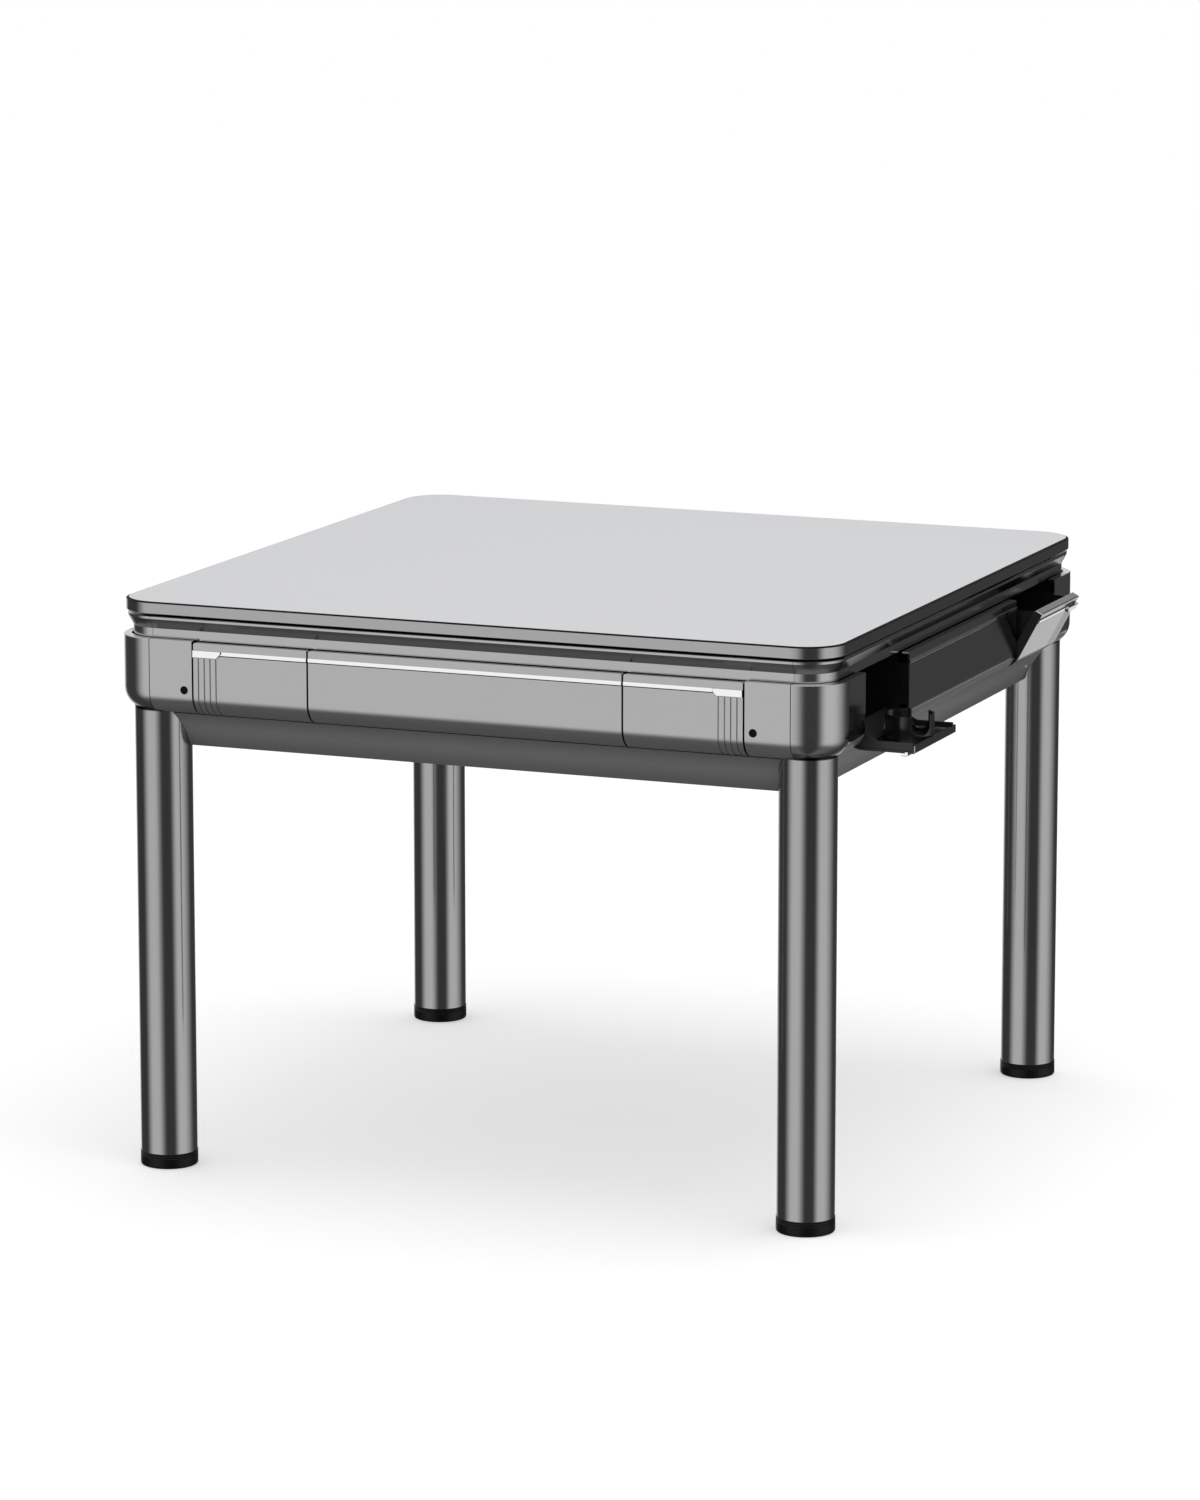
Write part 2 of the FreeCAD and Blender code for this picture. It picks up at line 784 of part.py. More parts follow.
def deck_rail():
    """A side's strip of the deck that the play board lies on, mitred at its ends."""
    deck = slab(board_half, board_corner_r, deck_bottom_z, board_bottom_z)
    corners = [at(deck_inner_u, 0, -deck_inner_u), at(deck_inner_u, 0, deck_inner_u),
               at(cover_half, 0, cover_half), at(cover_half, 0, -cover_half)]
    strip_of_side = Part.Face(Part.makePolygon(corners + corners[:1])).extrude(V(0, 0, table_height))
    return deck.common(strip_of_side)


def corner_bracket():
    """The front right leg socket: a block inside the leg, a collar, a cap and a lug to the casing."""
    block = box(beam_inner_u, beam_outer_u, beam_inner_u, beam_outer_u, frame_bottom_z, deck_bottom_z)
    cap_top_z = leg_top_z + socket_cap
    collar = rod(socket_r + socket_wall, socket_bottom_z, cap_top_z, leg_centre, leg_centre)
    reach = 2 * leg_centre
    lug = Part.makeBox(reach, lug_width, lug_top_z - lug_bottom_z, V(0, -lug_width / 2, lug_bottom_z))
    lug.rotate(V(0, 0, 0), UP, -QUARTER / 2)
    casing_r = face_u - face_wall - corner_centre - lug_gap
    lug = lug.common(rod(casing_r, lug_bottom_z, lug_top_z, corner_centre, corner_centre))
    whole = block.fuse([collar, lug])
    return whole.cut(rod(socket_r, 0, leg_top_z, leg_centre, leg_centre)).removeSplitter()


def base_pan():
    """The thin pan that closes the table's underside, with a hole for the mains inlet."""
    half = skirt_bottom_u - skirt_bottom_flange - pan_gap
    pan = box(-half, half, -half, half, skirt_bottom_z, frame_bottom_z)
    for space in all_round(leg_space(leg_gap)):
        pan = pan.cut(space)
    return pan.cut(turned(inlet_space(inlet_rim, skirt_bottom_z, frame_bottom_z), 2))


def inlet_space(rim, z0, z1):
    """The mains inlet's space under the control box, with a rim about it."""
    middle_u = (control_front_u + control_back_u) / 2
    half_x, half_u = inlet_half_x + rim, inlet_half_u + rim
    return box(-half_x, half_x, middle_u - half_u, middle_u + half_u, z0, z1)


def control_box():
    """The control box on the pan under the back drawer, with a sunk three-pin inlet below."""
    case = box(-control_half, control_half, control_back_u, control_front_u, frame_bottom_z, control_top_z)
    case = case.makeChamfer(control_edge, top_edges(case, control_top_z))
    floor_z = frame_bottom_z + inlet_depth
    case = case.cut(inlet_space(0, frame_bottom_z, floor_z))
    middle_u = (control_front_u + control_back_u) / 2
    places = ((-inlet_pin_pitch, -inlet_pin_step), (0, inlet_pin_step), (inlet_pin_pitch, -inlet_pin_step))
    for x, u in places:
        case = case.fuse(box(x - inlet_pin_half, x + inlet_pin_half, middle_u + u - 2 * inlet_pin_half,
                             middle_u + u + 2 * inlet_pin_half, floor_z - inlet_pin_length, floor_z))
    return case


def bracket(x0, seat_u):
    """A hinge plate from the beam to the deck, with its eye and, at an end panel, a seat for it."""
    eye_front = (pivot_u + bracket_eye_r, pivot_z)
    seat = (bracket_front_u, bracket_seat_low_z), (seat_u, bracket_seat_low_z)
    seat += (seat_u, bracket_seat_high_z), (bracket_front_u, bracket_seat_high_z)
    top_u = rim_foot_u - rim_wall - bracket_to_rim
    return run(outline(
        (beam_inner_u, beam_top_z), (beam_outer_u, beam_top_z),
        (pivot_u - bracket_eye_r / 2, pivot_z - bracket_eye_r),
        (polar(pivot_u, pivot_z, bracket_eye_r, -math.pi / 4), eye_front), *seat,
        (top_u, bracket_seat_high_z), (top_u, deck_bottom_z), (beam_inner_u, deck_bottom_z)),
        x0, x0 + bracket_thick)


def stub_pin(x0, x1):
    """A stub pin on the flaps' hinge line, which a flap's ear turns on."""
    return Part.makeCylinder(pin_r, x1 - x0, at(pivot_u, pivot_z, x0), ALONG)


def hinge_plates():
    """The two hinge plates on the right half of the side with their pins, the inner one with a runner."""
    inner_x = centre_split - bracket_from_split - bracket_thick / 2
    ear_x = centre_split + panel_gap / 2 + ear_from_edge + ear_thick
    inner_plate = bracket(inner_x, bracket_front_u + pin_r).fuse(stub_pin(inner_x + bracket_thick / 2, ear_x))
    runner_z = box_bottom_z - box_gap
    runner = box(inner_x - runner_reach, inner_x, beam_inner_u, bracket_front_u - bracket_eye_r / 2,
                 runner_z - runner_height, runner_z)
    outer_x = side_split + panel_gap / 2 + bracket_thick / 2
    outer_ear_x = side_split - panel_gap / 2 - ear_from_edge - ear_thick
    outer_pin = stub_pin(outer_ear_x, outer_x + bracket_thick / 2)
    return [inner_plate.fuse(runner), bracket(outer_x, face_u - face_wall).fuse(outer_pin)]


def console_base():
    """The round console: a shallow well for the dice, button holes, and the post it rises on."""
    body = lathe([
        (0, post_bottom_z), (post_r, post_bottom_z), (post_r, console_bottom_z),
        (console_r, console_bottom_z), (console_r, console_top_z - console_edge),
        (console_r - console_edge, console_top_z),
        (well_r + dome_seat, console_top_z), (well_r + dome_seat, console_top_z - dome_wall),
        (well_r - dome_seat, console_top_z - dome_wall), (well_r - dome_seat, well_floor_z),
        (0, well_floor_z)])
    hole_floor_z = console_top_z + button_proud - button_height - button_travel - button_gap
    for x in (-button_from_centre, button_from_centre):
        body = body.cut(rod(button_r + button_gap, hole_floor_z, table_height, x))
    return body


def dice_dome():
    """The clear shallow lid over the dice: an upright rim, a sloped shoulder and a flat crown."""
    outer_r, inner_r = well_r + dome_seat - dome_gap, well_r - dome_seat
    crown_z = console_top_z + dome_rise
    return lathe([
        (0, crown_z - dome_wall), (inner_r - dome_shoulder, crown_z - dome_wall), (inner_r, console_top_z),
        (inner_r, console_top_z - dome_wall), (outer_r, console_top_z - dome_wall), (outer_r, console_top_z),
        (outer_r - dome_shoulder, crown_z), (0, crown_z)])


def dice():
    """Two dice on the floor of the console's well."""
    pair = []
    for sign, turn in zip((-1, 1), die_turns):
        half = die_side / 2
        die = box(-half, half, -half, half, well_floor_z, well_floor_z + die_side)
        die = die.makeChamfer(die_edge, die.Edges)
        die.rotate(V(0, 0, 0), UP, turn)
        die.translate(V(sign * die_spread, sign * die_spread / 2, 0))
        pair.append(die)
    return pair


def button(x):
    """A round push button in the console's top."""
    top_z = console_top_z + button_proud
    cap = rod(button_r, top_z - button_height, top_z, x)
    return cap.makeChamfer(button_edge, top_edges(cap, top_z))


def wall_lift():
    """The plate that raises a row of tiles, on two stems."""
    plate = lift_slot(0, lift_bottom_z, cloth_top_z)
    stems = [rod(lift_stem_r, lift_stem_bottom_z, lift_bottom_z, x, tie_centre)
             for x in (-lift_stem_place, lift_stem_place)]
    return plate.fuse(stems)


def lift_guide():
    """The bridge on an inner beam that a lift's stems slide in."""
    half, top_z = tie_width / 2, guide_bottom_z + guide_height
    front_u, back_u = tie_centre + half, tie_centre - half
    bridge = box(-guide_half, guide_half, back_u, front_u, tie_top_z, top_z)
    inside = guide_half - guide_foot
    bridge = bridge.cut(box(-inside, inside, back_u, front_u, tie_top_z, guide_bottom_z))
    for x in (-lift_stem_place, lift_stem_place):
        bridge = bridge.cut(rod(lift_stem_r + pin_running, tie_top_z, top_z, x, tie_centre))
    return bridge


def shuffle_tub():
    """The tub that tiles are mixed in, with four lugs and the hollow post that the console rises in."""
    tub = lathe([
        (post_hole_r, tub_floor_z), (0, tub_floor_z), (0, tub_bottom_z), (tub_r, tub_bottom_z),
        (tub_r, tub_top_z), (tub_r - tub_wall, tub_top_z), (tub_r - tub_wall, tub_floor_z),
        (collar_r, tub_floor_z), (collar_r, tub_floor_z + collar_height),
        (guide_post_r, tub_floor_z + collar_height), (guide_post_r, guide_post_top_z),
        (post_hole_r, guide_post_top_z)])
    lug = box(-tub_lug_half, tub_lug_half, tub_r - tub_wall, tie_centre + tub_foot_half,
              tub_bottom_z, tub_floor_z)
    tub = tub.fuse(all_round(lug))
    shaft_x = hub_r + roller_gap + roller_r
    return tub.cut(rod(shaft_hole_r, tub_bottom_z, tub_floor_z, shaft_x)).removeSplitter()


def shuffle_disc():
    """The turning floor of the tub, with stirring ribs on it and a drive hub under it."""
    hub_bottom_z = tub_floor_z + collar_height
    top_z = disc_z + disc_thick
    disc = rod(disc_r, disc_z, top_z).fuse(rod(hub_r, hub_bottom_z, disc_z))
    for i in range(rib_count):
        rib = box(rib_inner_r, rib_outer_r, -rib_width / 2, rib_width / 2, top_z, top_z + rib_height)
        rib.rotate(V(0, 0, 0), UP, i * 4 * QUARTER / rib_count)
        disc = disc.fuse(rib)
    return disc.cut(rod(guide_post_r + pin_running, 0, table_height)).removeSplitter()


def drive_roller():
    """The roller that turns the disc's hub, on its shaft."""
    x = hub_r + roller_gap + roller_r
    roller = rod(roller_r, roller_bottom_z, roller_bottom_z + roller_height, x)
    return roller.fuse(rod(shaft_r, tub_bottom_z - shaft_depth, roller_bottom_z, x))


def drive_motor():
    """The motor under the tub's floor."""
    x = hub_r + roller_gap + roller_r
    bottom_z = tub_bottom_z - motor_height
    case = rod(motor_r, bottom_z, tub_bottom_z, x)
    case = case.makeChamfer(motor_edge, top_edges(case, bottom_z))
    return case.cut(rod(shaft_r + pin_running, tub_bottom_z - shaft_depth, tub_bottom_z, x))


def save(node, pieces):
    """Write one sub-part, its separate pieces kept as separate solids."""
    shape = solids(pieces)
    for solid in shape.Solids:
        if not solid.isValid():
            print("not valid:", node)
    shape.exportStep("parts/" + node + ".step")
    print(f"{node}: {len(shape.Solids)} solids, {shape.Volume / 1000:.1f} cm3")


def save_sides():
    """Write what each side has of its own: the drawer and the two flaps."""
    tray_front = flap_front()
    cup_front = [mirrored(piece) for piece in tray_front]
    for side, name in enumerate(side_names):
        is_open = name == open_side
        cup_angle, tray_angle = (cup_open, tray_open) if is_open else (0, 0)
        save("drawer_front_" + name, [turned(piece, side) for piece in drawer_front()])
        save("drawer_box_" + name, [turned(drawer_box(), side)])
        save("cup_flap_" + name, [turned(tilted(piece, cup_angle), side) for piece in cup_front])
        save("cup_cradle_" + name, [turned(tilted(cup_cradle(), cup_angle), side)])
        save("tray_flap_" + name, [turned(tilted(piece, tray_angle), side) for piece in tray_front])
        save("tray_bin_" + name, [turned(tilted(tray_bin(), tray_angle), side)])
        save("wall_lift_" + name, [turned(wall_lift(), side)])


def save_corners():
    """Write the legs, and the casing's corners together."""
    for corner, name in enumerate(corner_names):
        save("leg_" + name, [turned(leg(), corner)])
    save("corner_casings", all_round(corner_casing()))


def pairs_all_round(pieces):
    """Pieces of the right half of a side, with their mirror images, on every side."""
    return [turned(half, side) for side in range(len(side_names))
            for piece in pieces for half in (piece, mirrored(piece))]


def main():
    """Build every sub-part."""
    os.makedirs("parts", exist_ok=True)
    save("cover_panel", [cover_panel()])
    save("cover_edge", [cover_edge()])
    save("rim_rails", all_round(rim_rail()))
    save("rim_corners", all_round(rim_corner()))
    save("play_board", [with_openings(slab(board_half, board_corner_r, board_bottom_z, board_top_z))])
    cloth = slab(cloth_half, cloth_half - corner_centre, board_top_z, cloth_top_z)
    save("play_cloth", [with_openings(cloth)])
    save_corners()
    save("end_panels", pairs_all_round([end_panel(), screw_cap()]))
    save("skirts", all_round(skirt()))
    save("foot_caps", all_round(foot_cap()))
    save("frame_beams", all_round(beam()) + ties() + all_round(tub_post()) + all_round(deck_rail()))
    save("corner_brackets", all_round(corner_bracket()))
    save("base_pan", [base_pan()])
    save("flap_hinges", pairs_all_round(hinge_plates()))
    save_sides()
    save("console_base", [console_base()])
    save("dice_dome", [dice_dome()])
    save("dice", dice())
    save("button_roll", [button(-button_from_centre)])
    save("button_shuffle", [button(button_from_centre)])
    save("lift_guides", all_round(lift_guide()))
    save("shuffle_tub", [shuffle_tub()])
    save("shuffle_disc", [shuffle_disc()])
    save("drive_roller", [drive_roller()])
    save("drive_motor", [drive_motor()])
    save("control_box", [turned(control_box(), 2)])


main()
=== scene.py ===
"""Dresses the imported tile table: its finishes, its fine pieces, the studio and the camera.

Metres, +Z up, the origin on the floor under the table's middle. What belongs to a side is worked out
as on the front side, with x along it and u outwards, and then turned about the vertical axis.
"""

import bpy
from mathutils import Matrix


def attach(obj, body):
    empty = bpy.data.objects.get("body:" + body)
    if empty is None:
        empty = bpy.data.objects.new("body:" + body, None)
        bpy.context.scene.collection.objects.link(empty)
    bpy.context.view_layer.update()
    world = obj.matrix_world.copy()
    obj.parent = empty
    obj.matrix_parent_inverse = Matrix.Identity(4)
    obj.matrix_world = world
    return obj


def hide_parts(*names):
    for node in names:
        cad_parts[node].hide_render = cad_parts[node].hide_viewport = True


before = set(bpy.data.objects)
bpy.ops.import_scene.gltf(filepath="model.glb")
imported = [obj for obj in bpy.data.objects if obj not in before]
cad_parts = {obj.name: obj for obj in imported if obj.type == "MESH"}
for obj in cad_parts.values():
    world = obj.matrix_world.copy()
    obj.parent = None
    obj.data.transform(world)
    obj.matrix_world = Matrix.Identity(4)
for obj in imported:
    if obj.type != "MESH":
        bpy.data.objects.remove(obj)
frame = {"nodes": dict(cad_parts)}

import fnmatch
import logging
import math
from collections.abc import Callable
from dataclasses import dataclass
from enum import Enum
from functools import partialmethod

import bmesh
import bpy
import numpy as np

LOG = logging.getLogger("table")
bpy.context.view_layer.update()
Array, Piece = np.ndarray, bpy.types.Object
Node, Socket, Tree = bpy.types.Node, bpy.types.NodeSocket, bpy.types.NodeTree
Pair, Triple = tuple[float, float], tuple[float, float, float]
Chooser = Callable[[Array, Array], Array]
SOCKETS = {"Vector": "Vector", "Grain": "Vector", "Colour": "Color"}
DUST, PAINT = (0.55, 0.54, 0.52, 1.0), (0.012, 0.012, 0.012, 1.0)
FIBRES = ((2600.0, 420.0, 900.0), (420.0, 2600.0, 900.0))
PAINT_EDGE, RELIEF_DEPTH = 0.002, 0.0004
UPRIGHT_FROM = 0.9  # a part of a normal over this counts as along its axis
NEAR = 1e-4  # places nearer than this count as the same
MERGE, SLIVER = 1e-6, 1e-7  # points that are merged, and edges that are dropped
SKIN_DEPTH = 0.0012  # how deep a front's outer faces are looked for
# Past this slope a bend's underside is given painted shade.
UNDER_SLOPE = math.tan(math.radians(20.0))  # where a bend's underside starts


@dataclass(frozen=True)
class TableSizes:
    """The frame's sizes that more than one sub-assembly here follows, in metres."""
    face_u: float = 0.503
    face_wall: float = 0.003
    fascia_top_z: float = 0.7155
    bend_r: float = 0.029
    bend_z: float = 0.646
    pivot_u: float = 0.486
    pivot_z: float = 0.633
    centre_split: float = 0.219
    side_split: float = 0.383
    panel_gap: float = 0.0025
    strip_low_z: float = 0.7024
    strip_top_z: float = 0.706
    hole_x: float = 0.3955
    hole_z: float = 0.652
    corner_x: float = 0.446
    leg_centre: float = 0.451
    console_top_z: float = 0.738


SIZES = TableSizes()
MIDDLE = np.zeros((1, 2))  # one copy, on the table's middle line
TINY = 1e-9  # keeps a division clear of zero


def full_turn(count: int) -> Array:
    """So many angles, evenly round a full turn."""
    return np.linspace(0, 2 * math.pi, count, endpoint=False)


def stacked(*parts: Array | float) -> Array:
    """One row for each point, from its coordinates spread over the same grid."""
    return np.stack(np.broadcast_arrays(*parts), -1).reshape(-1, len(parts))


class Labelled(Enum):
    """A choice whose name is part of the frame's names."""

    @property
    def label(self) -> str:
        """The name in the frame's nodes and bodies."""
        return self.name.lower()


class Side(Labelled):
    """The four sides, by the quarter turns that carry the front side to each."""
    FRONT = 0
    RIGHT = 1
    BACK = 2
    LEFT = 3

    def place(self, points: Array) -> Array:
        """Turn front-side points about the vertical axis to this side."""
        return points @ turn_about_z(self.value * 90.0).round()

    def bring_back(self, points: Array) -> Array:
        """Turn this side's points back to the front side."""
        return Side((4 - self.value) % 4).place(points)


class Flap(Labelled):
    """The two kinds of flap, by how far the open side's one is swung at rest, in degrees."""
    CUP = 90.0
    TRAY = 28.0

    def rest_angle(self, side: Side) -> float:
        """How far this flap is swung out at rest on a side, in radians."""
        return math.radians(self.value) if side is Side.RIGHT else 0.0


def turn_about_z(angle: float) -> Array:
    """The matrix that turns rows of points about the vertical axis by an angle in degrees."""
    c, s = math.cos(math.radians(angle)), math.sin(math.radians(angle))
    return np.array([[c, s, 0.0], [-s, c, 0.0], [0.0, 0.0, 1.0]])


def swung(points: Array, angle: float) -> Array:
    """Turn front-side points about the hinge line.

    With (b, c) the place of a point from the hinge line in y and z, it moves to
    (b cos - c sin, b sin + c cos).

    Args:
        points: Points of the front side, one row each.
        angle: The turn in radians, outwards.

    Returns:
        The turned points.
    """
    hinge = np.array([0.0, -SIZES.pivot_u, SIZES.pivot_z])
    return leaned(points - hinge, angle) + hinge


def leaned(directions: Array, angle: float) -> Array:
    """Turn directions about the x axis as swung turns points about the hinge line."""
    c, s = math.cos(angle), math.sin(angle)
    return directions @ np.array([[1, 0, 0], [0, c, s], [0, -s, c]])


def place_mesh(mesh: bpy.types.Mesh, work: bmesh.types.BMesh, smooth: float) -> Piece:
    """Fill a mesh, shade it smooth up to an angle in degrees, and put it in the scene at the origin."""
    work.to_mesh(mesh)
    work.free()
    mesh.shade_smooth()
    mesh.set_sharp_from_angle(angle=math.radians(smooth))
    piece = bpy.data.objects.new(mesh.name, mesh)
    bpy.context.scene.collection.objects.link(piece)
    LOG.info("made %s", piece.name)
    return piece


def mesh_object(name: str, points: Array, faces: Array, smooth: float = 40.0) -> Piece:
    """Make an object of points and quads, with its doubles merged and its faces outwards.

    Args:
        name: The object's name.
        points: One row of x, y, z for each point.
        faces: One row of point numbers for each face.
        smooth: The largest angle between faces that is shaded smooth, in degrees.

    Returns:
        The new object, at the origin.
    """
    mesh = bpy.data.meshes.new(name)
    mesh.from_pydata(points.tolist(), [], faces.tolist())
    work = bmesh.new()
    work.from_mesh(mesh)
    bmesh.ops.remove_doubles(work, verts=work.verts, dist=MERGE)
    bmesh.ops.dissolve_degenerate(work, edges=work.edges, dist=SLIVER)
    bmesh.ops.recalc_face_normals(work, faces=work.faces)
    return place_mesh(mesh, work, smooth)


def grid_faces(rows: int, columns: int, close_rows: bool, close_columns: bool) -> Array:
    """The quads of a grid of points: each joins point (i, j) to (i+1, j), (i+1, j+1) and (i, j+1).

    Args:
        rows: Points along the first parameter.
        columns: Points along the second.
        close_rows: Whether the last row joins the first.
        close_columns: Whether the last column joins the first.

    Returns:
        One row of four point numbers for each quad.
    """
    i, j = np.meshgrid(np.arange(rows if close_rows else rows - 1),
                       np.arange(columns if close_columns else columns - 1), indexing="ij")
    nxt_i, nxt_j = (i + 1) % rows, (j + 1) % columns
    row, below = i * columns, nxt_i * columns
    return np.stack([row + j, below + j, below + nxt_j, row + nxt_j], -1).reshape(-1, 4)


def copies(faces: Array, points: int, count: int) -> Array:
    """The faces of so many copies of a form that has so many points."""
    return (faces[None] + points * np.arange(count)[:, None, None]).reshape(-1, 4)


def turned_form(profile: Array, centres: Array, segments: int) -> tuple[Array, Array]:
    """Turn a closed profile about upright lines, as a surface of two parameters.

    A point is (cx + r(s) cos a, cy + r(s) sin a, z(s)), with s along the profile and a round the line.

    Args:
        profile: Rows of radius and height, round the section and closed.
        centres: Rows of x and y, one for each copy.
        segments: Points round each copy.

    Returns:
        The points and quads of every copy.
    """
    a = full_turn(segments)
    r, z = profile[:, :1], profile[:, 1:]
    base = stacked(r * np.cos(a), r * np.sin(a), z)
    quads = grid_faces(len(profile), segments, True, True)
    shift = np.concatenate([centres, np.zeros((len(centres), 1))], 1)
    points = (base[None] + shift[:, None]).reshape(-1, 3)
    return points, copies(quads, len(base), len(centres))


def arc(centre: Pair, radius: float, start: float, end: float, count: int) -> Array:
    """Points of a circle's arc in a section plane, with its angles in degrees."""
    a = np.radians(np.linspace(start, end, count))
    return stacked(centre[0] + radius * np.cos(a), centre[1] + radius * np.sin(a))


@dataclass
class Wires:
    """A node tree, with short calls that add, fill and link its nodes."""
    tree: Tree

    def feed(self, node: Node, values: dict) -> Node:
        """Link or fill a node's inputs, each by its name or number, and return the node."""
        for key, value in values.items():
            if isinstance(value, Socket):
                self.tree.links.new(value, node.inputs[key])
            else:
                node.inputs[key].default_value = value
        return node

    def node(self, kind: str, values: dict | None = None, **settings: object) -> Node:
        """Add a node.

        Args:
            kind: The node's type, less the words that every shader node's type starts with.
            values: What each input is linked to or holds.
            settings: Properties of the node, set before its inputs.
        """
        made = self.tree.nodes.new("ShaderNode" + kind)
        for key, value in settings.items():
            setattr(made, key, value)
        return self.feed(made, values or {})

    def calc(self, how: str, a: object, b: object, clamp: bool = False) -> Socket:
        """A number worked out from two others."""
        return self.node("Math", {0: a, 1: b}, operation=how, use_clamp=clamp).outputs[0]

    add = partialmethod(calc, "ADD")
    less = partialmethod(calc, "SUBTRACT")
    times = partialmethod(calc, "MULTIPLY")
    most = partialmethod(calc, "MAXIMUM")

    def step(self, value: object, low: float, high: float) -> Socket:
        """A smooth step of a value from 0 at low to 1 at high."""
        return self.node("MapRange", {"Value": value, "From Min": low, "From Max": high},
                         interpolation_type="SMOOTHSTEP").outputs["Result"]

    def noise(self, vector: object, scale: float, detail: float) -> Socket:
        """The level of a noise texture."""
        values = {"Vector": vector, "Scale": scale, "Detail": detail}
        return self.node("TexNoise", values).outputs["Fac"]

    def stretch(self, vector: object, by: object) -> Socket:
        """A vector with each of its three parts made longer."""
        return self.node("VectorMath", {0: vector, 1: by}, operation="MULTIPLY").outputs[0]

    def height(self, vector: object) -> Socket:
        """The z of a vector."""
        return self.node("SeparateXYZ", {0: vector}).outputs["Z"]

    def tint(self, colour: object, level: object, gain: object) -> Socket:
        """A colour times 1 + level * gain."""
        factor = self.add(self.times(level, gain), 1.0)
        return self.node("VectorMath", {0: colour, "Scale": factor}, operation="SCALE").outputs[0]

    def blend(self, share: object, a: object, b: object) -> Socket:
        """A mix of two colours."""
        return self.node("Mix", {0: share, 6: a, 7: b}, data_type="RGBA").outputs[2]

    def group(self, tree: Tree, values: dict) -> bpy.types.NodeOutputs:
        """Add a shared group, and return its outputs."""
        return self.node("Group", values, node_tree=tree).outputs


def new_material(name: str) -> tuple[bpy.types.Material, Wires]:
    """Make a material, and return it with its node tree's wires."""
    material = bpy.data.materials.new(name)
    material.use_nodes = True
    return material, Wires(material.node_tree)


class Patterns:
    """The shader node groups that the finishes share, each built once."""

    def __init__(self) -> None:
        """Build every group."""
        self.grain = self._grain()
        self.film = self._film()
        self.scuffs = self._scuffs()
        self.fibres = self._fibres()

    @staticmethod
    def _start(name: str, inputs: str, outputs: str) -> tuple[Wires, bpy.types.NodeOutputs, Node]:
        """Start a group with named sockets, and return its wires, what it is given and its end."""
        tree = bpy.data.node_groups.new(name, "ShaderNodeTree")
        for way, sockets in (("INPUT", inputs), ("OUTPUT", outputs)):
            for socket in sockets.split():
                kind = "NodeSocket" + SOCKETS.get(socket, "Float")
                tree.interface.new_socket(name=socket, in_out=way, socket_type=kind)
        given = tree.nodes.new("NodeGroupInput").outputs
        return Wires(tree), given, tree.nodes.new("NodeGroupOutput")

    def _grain(self) -> Tree:
        """Fine grain stretched three ways over soft clouds: tone, gloss and relief."""
        wires, given, end = self._start(
            "surface_grain", "Vector Colour Grain Tone Roughness Spread", "Colour Roughness Height")
        fine = wires.noise(wires.stretch(given["Vector"], given["Grain"]), 1.0, 4.0)
        cloud = wires.noise(given["Vector"], 6.0, 3.0)
        both = wires.add(wires.less(fine, 0.5), wires.times(wires.less(cloud, 0.5), 0.5))
        swing = wires.times(both, given["Spread"])
        wires.feed(end, {"Colour": wires.tint(given["Colour"], both, given["Tone"]),
                         "Roughness": wires.add(given["Roughness"], swing, True), "Height": fine})
        return wires.tree

    def _film(self) -> Tree:
        """A thin film of dust that settles on what faces upwards, in patches."""
        wires, given, end = self._start("settled_film", "Vector Colour Roughness Amount",
                                        "Colour Roughness")
        upwards = wires.step(wires.height(wires.node("NewGeometry").outputs["Normal"]), 0.3, 1.0)
        patch = wires.step(wires.noise(given["Vector"], 14.0, 6.0), 0.35, 0.75)
        mask = wires.times(wires.times(patch, upwards), given["Amount"])
        wires.feed(end, {"Colour": wires.blend(mask, given["Colour"], DUST),
                         "Roughness": wires.add(given["Roughness"], wires.times(mask, 0.5), True)})
        return wires.tree

    def _scuffs(self) -> Tree:
        """Short fine rub marks where two stretched noises cross a threshold."""
        wires, given, end = self._start("rub_marks", "Vector Roughness Amount Grain", "Roughness")
        lines = wires.noise(wires.stretch(given["Vector"], given["Grain"]), 0.6, 2.0)
        places = wires.noise(given["Vector"], 11.0, 2.0)
        marks = wires.times(wires.step(lines, 0.62, 0.68), wires.step(places, 0.5, 0.65))
        rise = wires.times(wires.times(marks, given["Amount"]), 0.25)
        wires.feed(end, {"Roughness": wires.add(given["Roughness"], rise, True)})
        return wires.tree

    def _fibres(self) -> Tree:
        """Felt: crossing short fibres with lighter and darker tufts."""
        wires, given, end = self._start("felt_fibres", "Vector Colour Tone", "Colour Height")
        ways = (wires.stretch(given["Vector"], by) for by in FIBRES)
        level = wires.most(*(wires.noise(way, 1.0, 3.0) for way in ways))
        cloud = wires.less(wires.noise(given["Vector"], 9.0, 4.0), 0.5)
        both = wires.add(wires.times(wires.less(level, 0.55), 3.0), cloud)
        wires.feed(end, {"Colour": wires.tint(given["Colour"], both, given["Tone"]), "Height": level})
        return wires.tree


